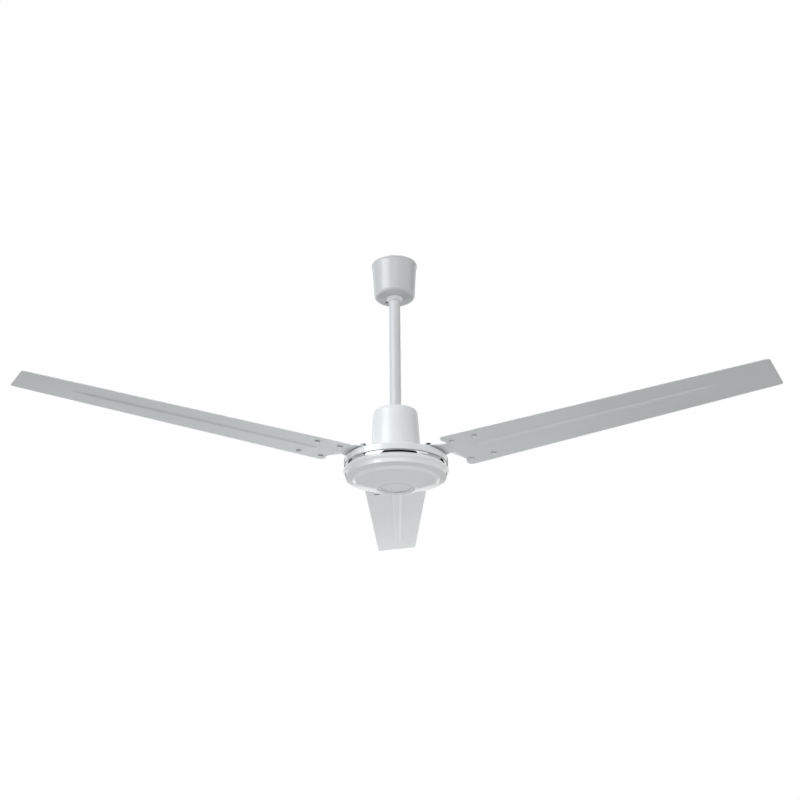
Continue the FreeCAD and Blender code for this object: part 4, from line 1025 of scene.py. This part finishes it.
# Lamps: name, place, aim, width, height, power in watts, colour, and whether bright metal mirrors them
LAMPS = (
    ("key_softbox", (-1.56, -1.31, 0.385), MOTOR_MIDDLE, 1.4, 1.2, 19.7, COOL, True),
    ("front_mid", (0, -2.7, 0.05), MOTOR_MIDDLE, 1.6, 0.6, 13.5, COOL, False),
    ("front_level", (0, -2.8, -0.5), MOTOR_MIDDLE, 1.6, 0.8, 24.7, PALE, False),
    ("right_front", (1.4, -0.9, -0.6), MOTOR_MIDDLE, 0.5, 0.3, 2.6, WARM, False),
    ("left_back", (-2.0, 1.2, -0.7), MOTOR_MIDDLE, 0.8, 0.8, 31.0, COOL, False),
    ("right_back", (2.0, 1.2, -0.7), MOTOR_MIDDLE, 0.8, 0.8, 21.5, WARM, False),
    ("overhead", (0, 0.3, 1.7), MOTOR_MIDDLE, 1.6, 1.6, 8.8, PALE, False),
    ("low_middle", (0, 0, -1.25), MOTOR_MIDDLE, 0.5, 0.4, 1.75, PALE, False),
    ("back_bounce", (0, 1.15, -1.05), BACK_BLADE, 0.8, 0.5, 4.0, PALE, False),
)

FILL_STRENGTH = 0.166
FLOOR_Z = -2.75
CARD_DISTANCE = 4.2
CARD_LOW = 0.1
CARD_HIGH = 3.4

# Azimuth of each dark card from the front, and half of the angle that it fills
CARDS = ((7, 40), (-104, 30), (114, 20), (180, 25))


def make_camera():
    """Camera of the photograph: below the blades, looking up at the motor."""
    data = bpy.data.cameras.new("photo_camera")
    data.lens = CAMERA_LENS
    data.sensor_width = 36.0
    data.shift_x = CAMERA_SHIFT
    camera = bpy.data.objects.new("photo_camera", data)
    bpy.context.scene.collection.objects.link(camera)
    turn = Matrix.Rotation(CAMERA_TURN, 4, "Z")
    pitch = Matrix.Rotation(math.pi / 2 + CAMERA_PITCH, 4, "X")
    roll = Matrix.Rotation(CAMERA_ROLL, 4, "Z")
    camera.matrix_world = Matrix.Translation(CAMERA_PLACE) @ turn @ pitch @ roll
    bpy.context.scene.camera = camera


def area_light(name, place, aim, width, height, power, color, mirrored):
    data = bpy.data.lights.new(name, "AREA")
    data.shape = "RECTANGLE"
    data.size = width
    data.size_y = height
    data.energy = power
    data.color = color
    light = bpy.data.objects.new(name, data)
    bpy.context.scene.collection.objects.link(light)
    light.visible_camera = False
    light.visible_glossy = mirrored
    light.location = place
    light.rotation_euler = (Vector(aim) - Vector(place)).to_track_quat("-Z", "Y").to_euler()


def make_lights():
    """Soft light from the front and from both sides, as in the photograph."""
    for lamp in LAMPS:
        area_light(*lamp)


def add_light_path(tree):
    """One where a ray comes from the camera, a mirror or glass."""
    path = add_node(tree, "ShaderNodeLightPath")
    seen = maths(tree, "ADD", path.outputs["Is Camera Ray"], path.outputs["Is Glossy Ray"])
    seen = maths(tree, "ADD", seen, path.outputs["Is Transmission Ray"])
    return maths(tree, "MINIMUM", seen, 1.0)


def make_world():
    """White to look at, and a soft even light on the fan."""
    world = bpy.data.worlds.new("studio")
    world.use_nodes = True
    tree = world.node_tree
    fill = tree.nodes["Background"]
    fill.inputs["Color"].default_value = (*PALE, 1)
    fill.inputs["Strength"].default_value = FILL_STRENGTH
    white = add_node(tree, "ShaderNodeBackground")
    white.inputs["Color"].default_value = (1, 1, 1, 1)
    blend = add_node(tree, "ShaderNodeMixShader")
    tree.links.new(add_light_path(tree), blend.inputs["Fac"])
    tree.links.new(fill.outputs["Background"], blend.inputs[1])
    tree.links.new(white.outputs["Background"], blend.inputs[2])
    tree.links.new(blend.outputs["Shader"], tree.nodes["World Output"].inputs["Surface"])
    bpy.context.scene.world = world


def make_floor():
    """Plain floor far below the fan that throws light up; to look at, it is white like the studio."""
    deselect()
    bpy.ops.mesh.primitive_circle_add(vertices=96, radius=30, fill_type="NGON", location=(0, 0, FLOOR_Z))
    floor = bpy.context.object
    floor.name = "studio_floor"
    paint = Finish("pale_floor", (0.6, 0.6, 0.6), 0.9)
    tree = paint.tree
    distance = add_node(tree, "ShaderNodeVectorMath", operation="LENGTH")
    tree.links.new(object_place(tree), distance.inputs[0])
    far = ranged(tree, distance.outputs["Value"], 8.0, 20.0, 0.0, 1.0)
    white = add_node(tree, "ShaderNodeEmission")
    blend = add_node(tree, "ShaderNodeMixShader")
    path = add_node(tree, "ShaderNodeLightPath")
    mirrored = maths(tree, "MULTIPLY", far, add_light_path(tree))
    tree.links.new(maths(tree, "MAXIMUM", path.outputs["Is Camera Ray"], mirrored), blend.inputs["Fac"])
    tree.links.new(paint.shader.outputs["BSDF"], blend.inputs[1])
    tree.links.new(white.outputs["Emission"], blend.inputs[2])
    tree.links.new(blend.outputs["Shader"], tree.nodes["Material Output"].inputs["Surface"])
    floor.data.materials.append(paint.material)


def make_dark_cards():
    """Dark cards round the studio, for bright metal to mirror; nothing else sees them."""
    black = Finish("dark_card", (0.015, 0.015, 0.016), 0.9)
    for number, (azimuth, half_angle) in enumerate(CARDS, start=1):
        deselect()
        bpy.ops.mesh.primitive_plane_add(size=1)
        card = bpy.context.object
        card.name = f"dark_card_{number}"
        width = 2 * CARD_DISTANCE * math.tan(math.radians(half_angle))
        angle = math.radians(azimuth)
        middle = (CARD_LOW + CARD_HIGH) / 2
        card.dimensions = (width, CARD_HIGH - CARD_LOW, 0)
        card.rotation_euler = (math.pi / 2, 0, angle)
        card.location = (CARD_DISTANCE * math.sin(angle), -CARD_DISTANCE * math.cos(angle), middle)
        card.data.materials.append(black.material)
        card.visible_camera = False
        card.visible_diffuse = False
        card.visible_shadow = False
        card.visible_transmission = False


make_camera()
make_lights()
make_world()
make_floor()
make_dark_cards()
bpy.context.scene.view_settings.view_transform = "Standard"
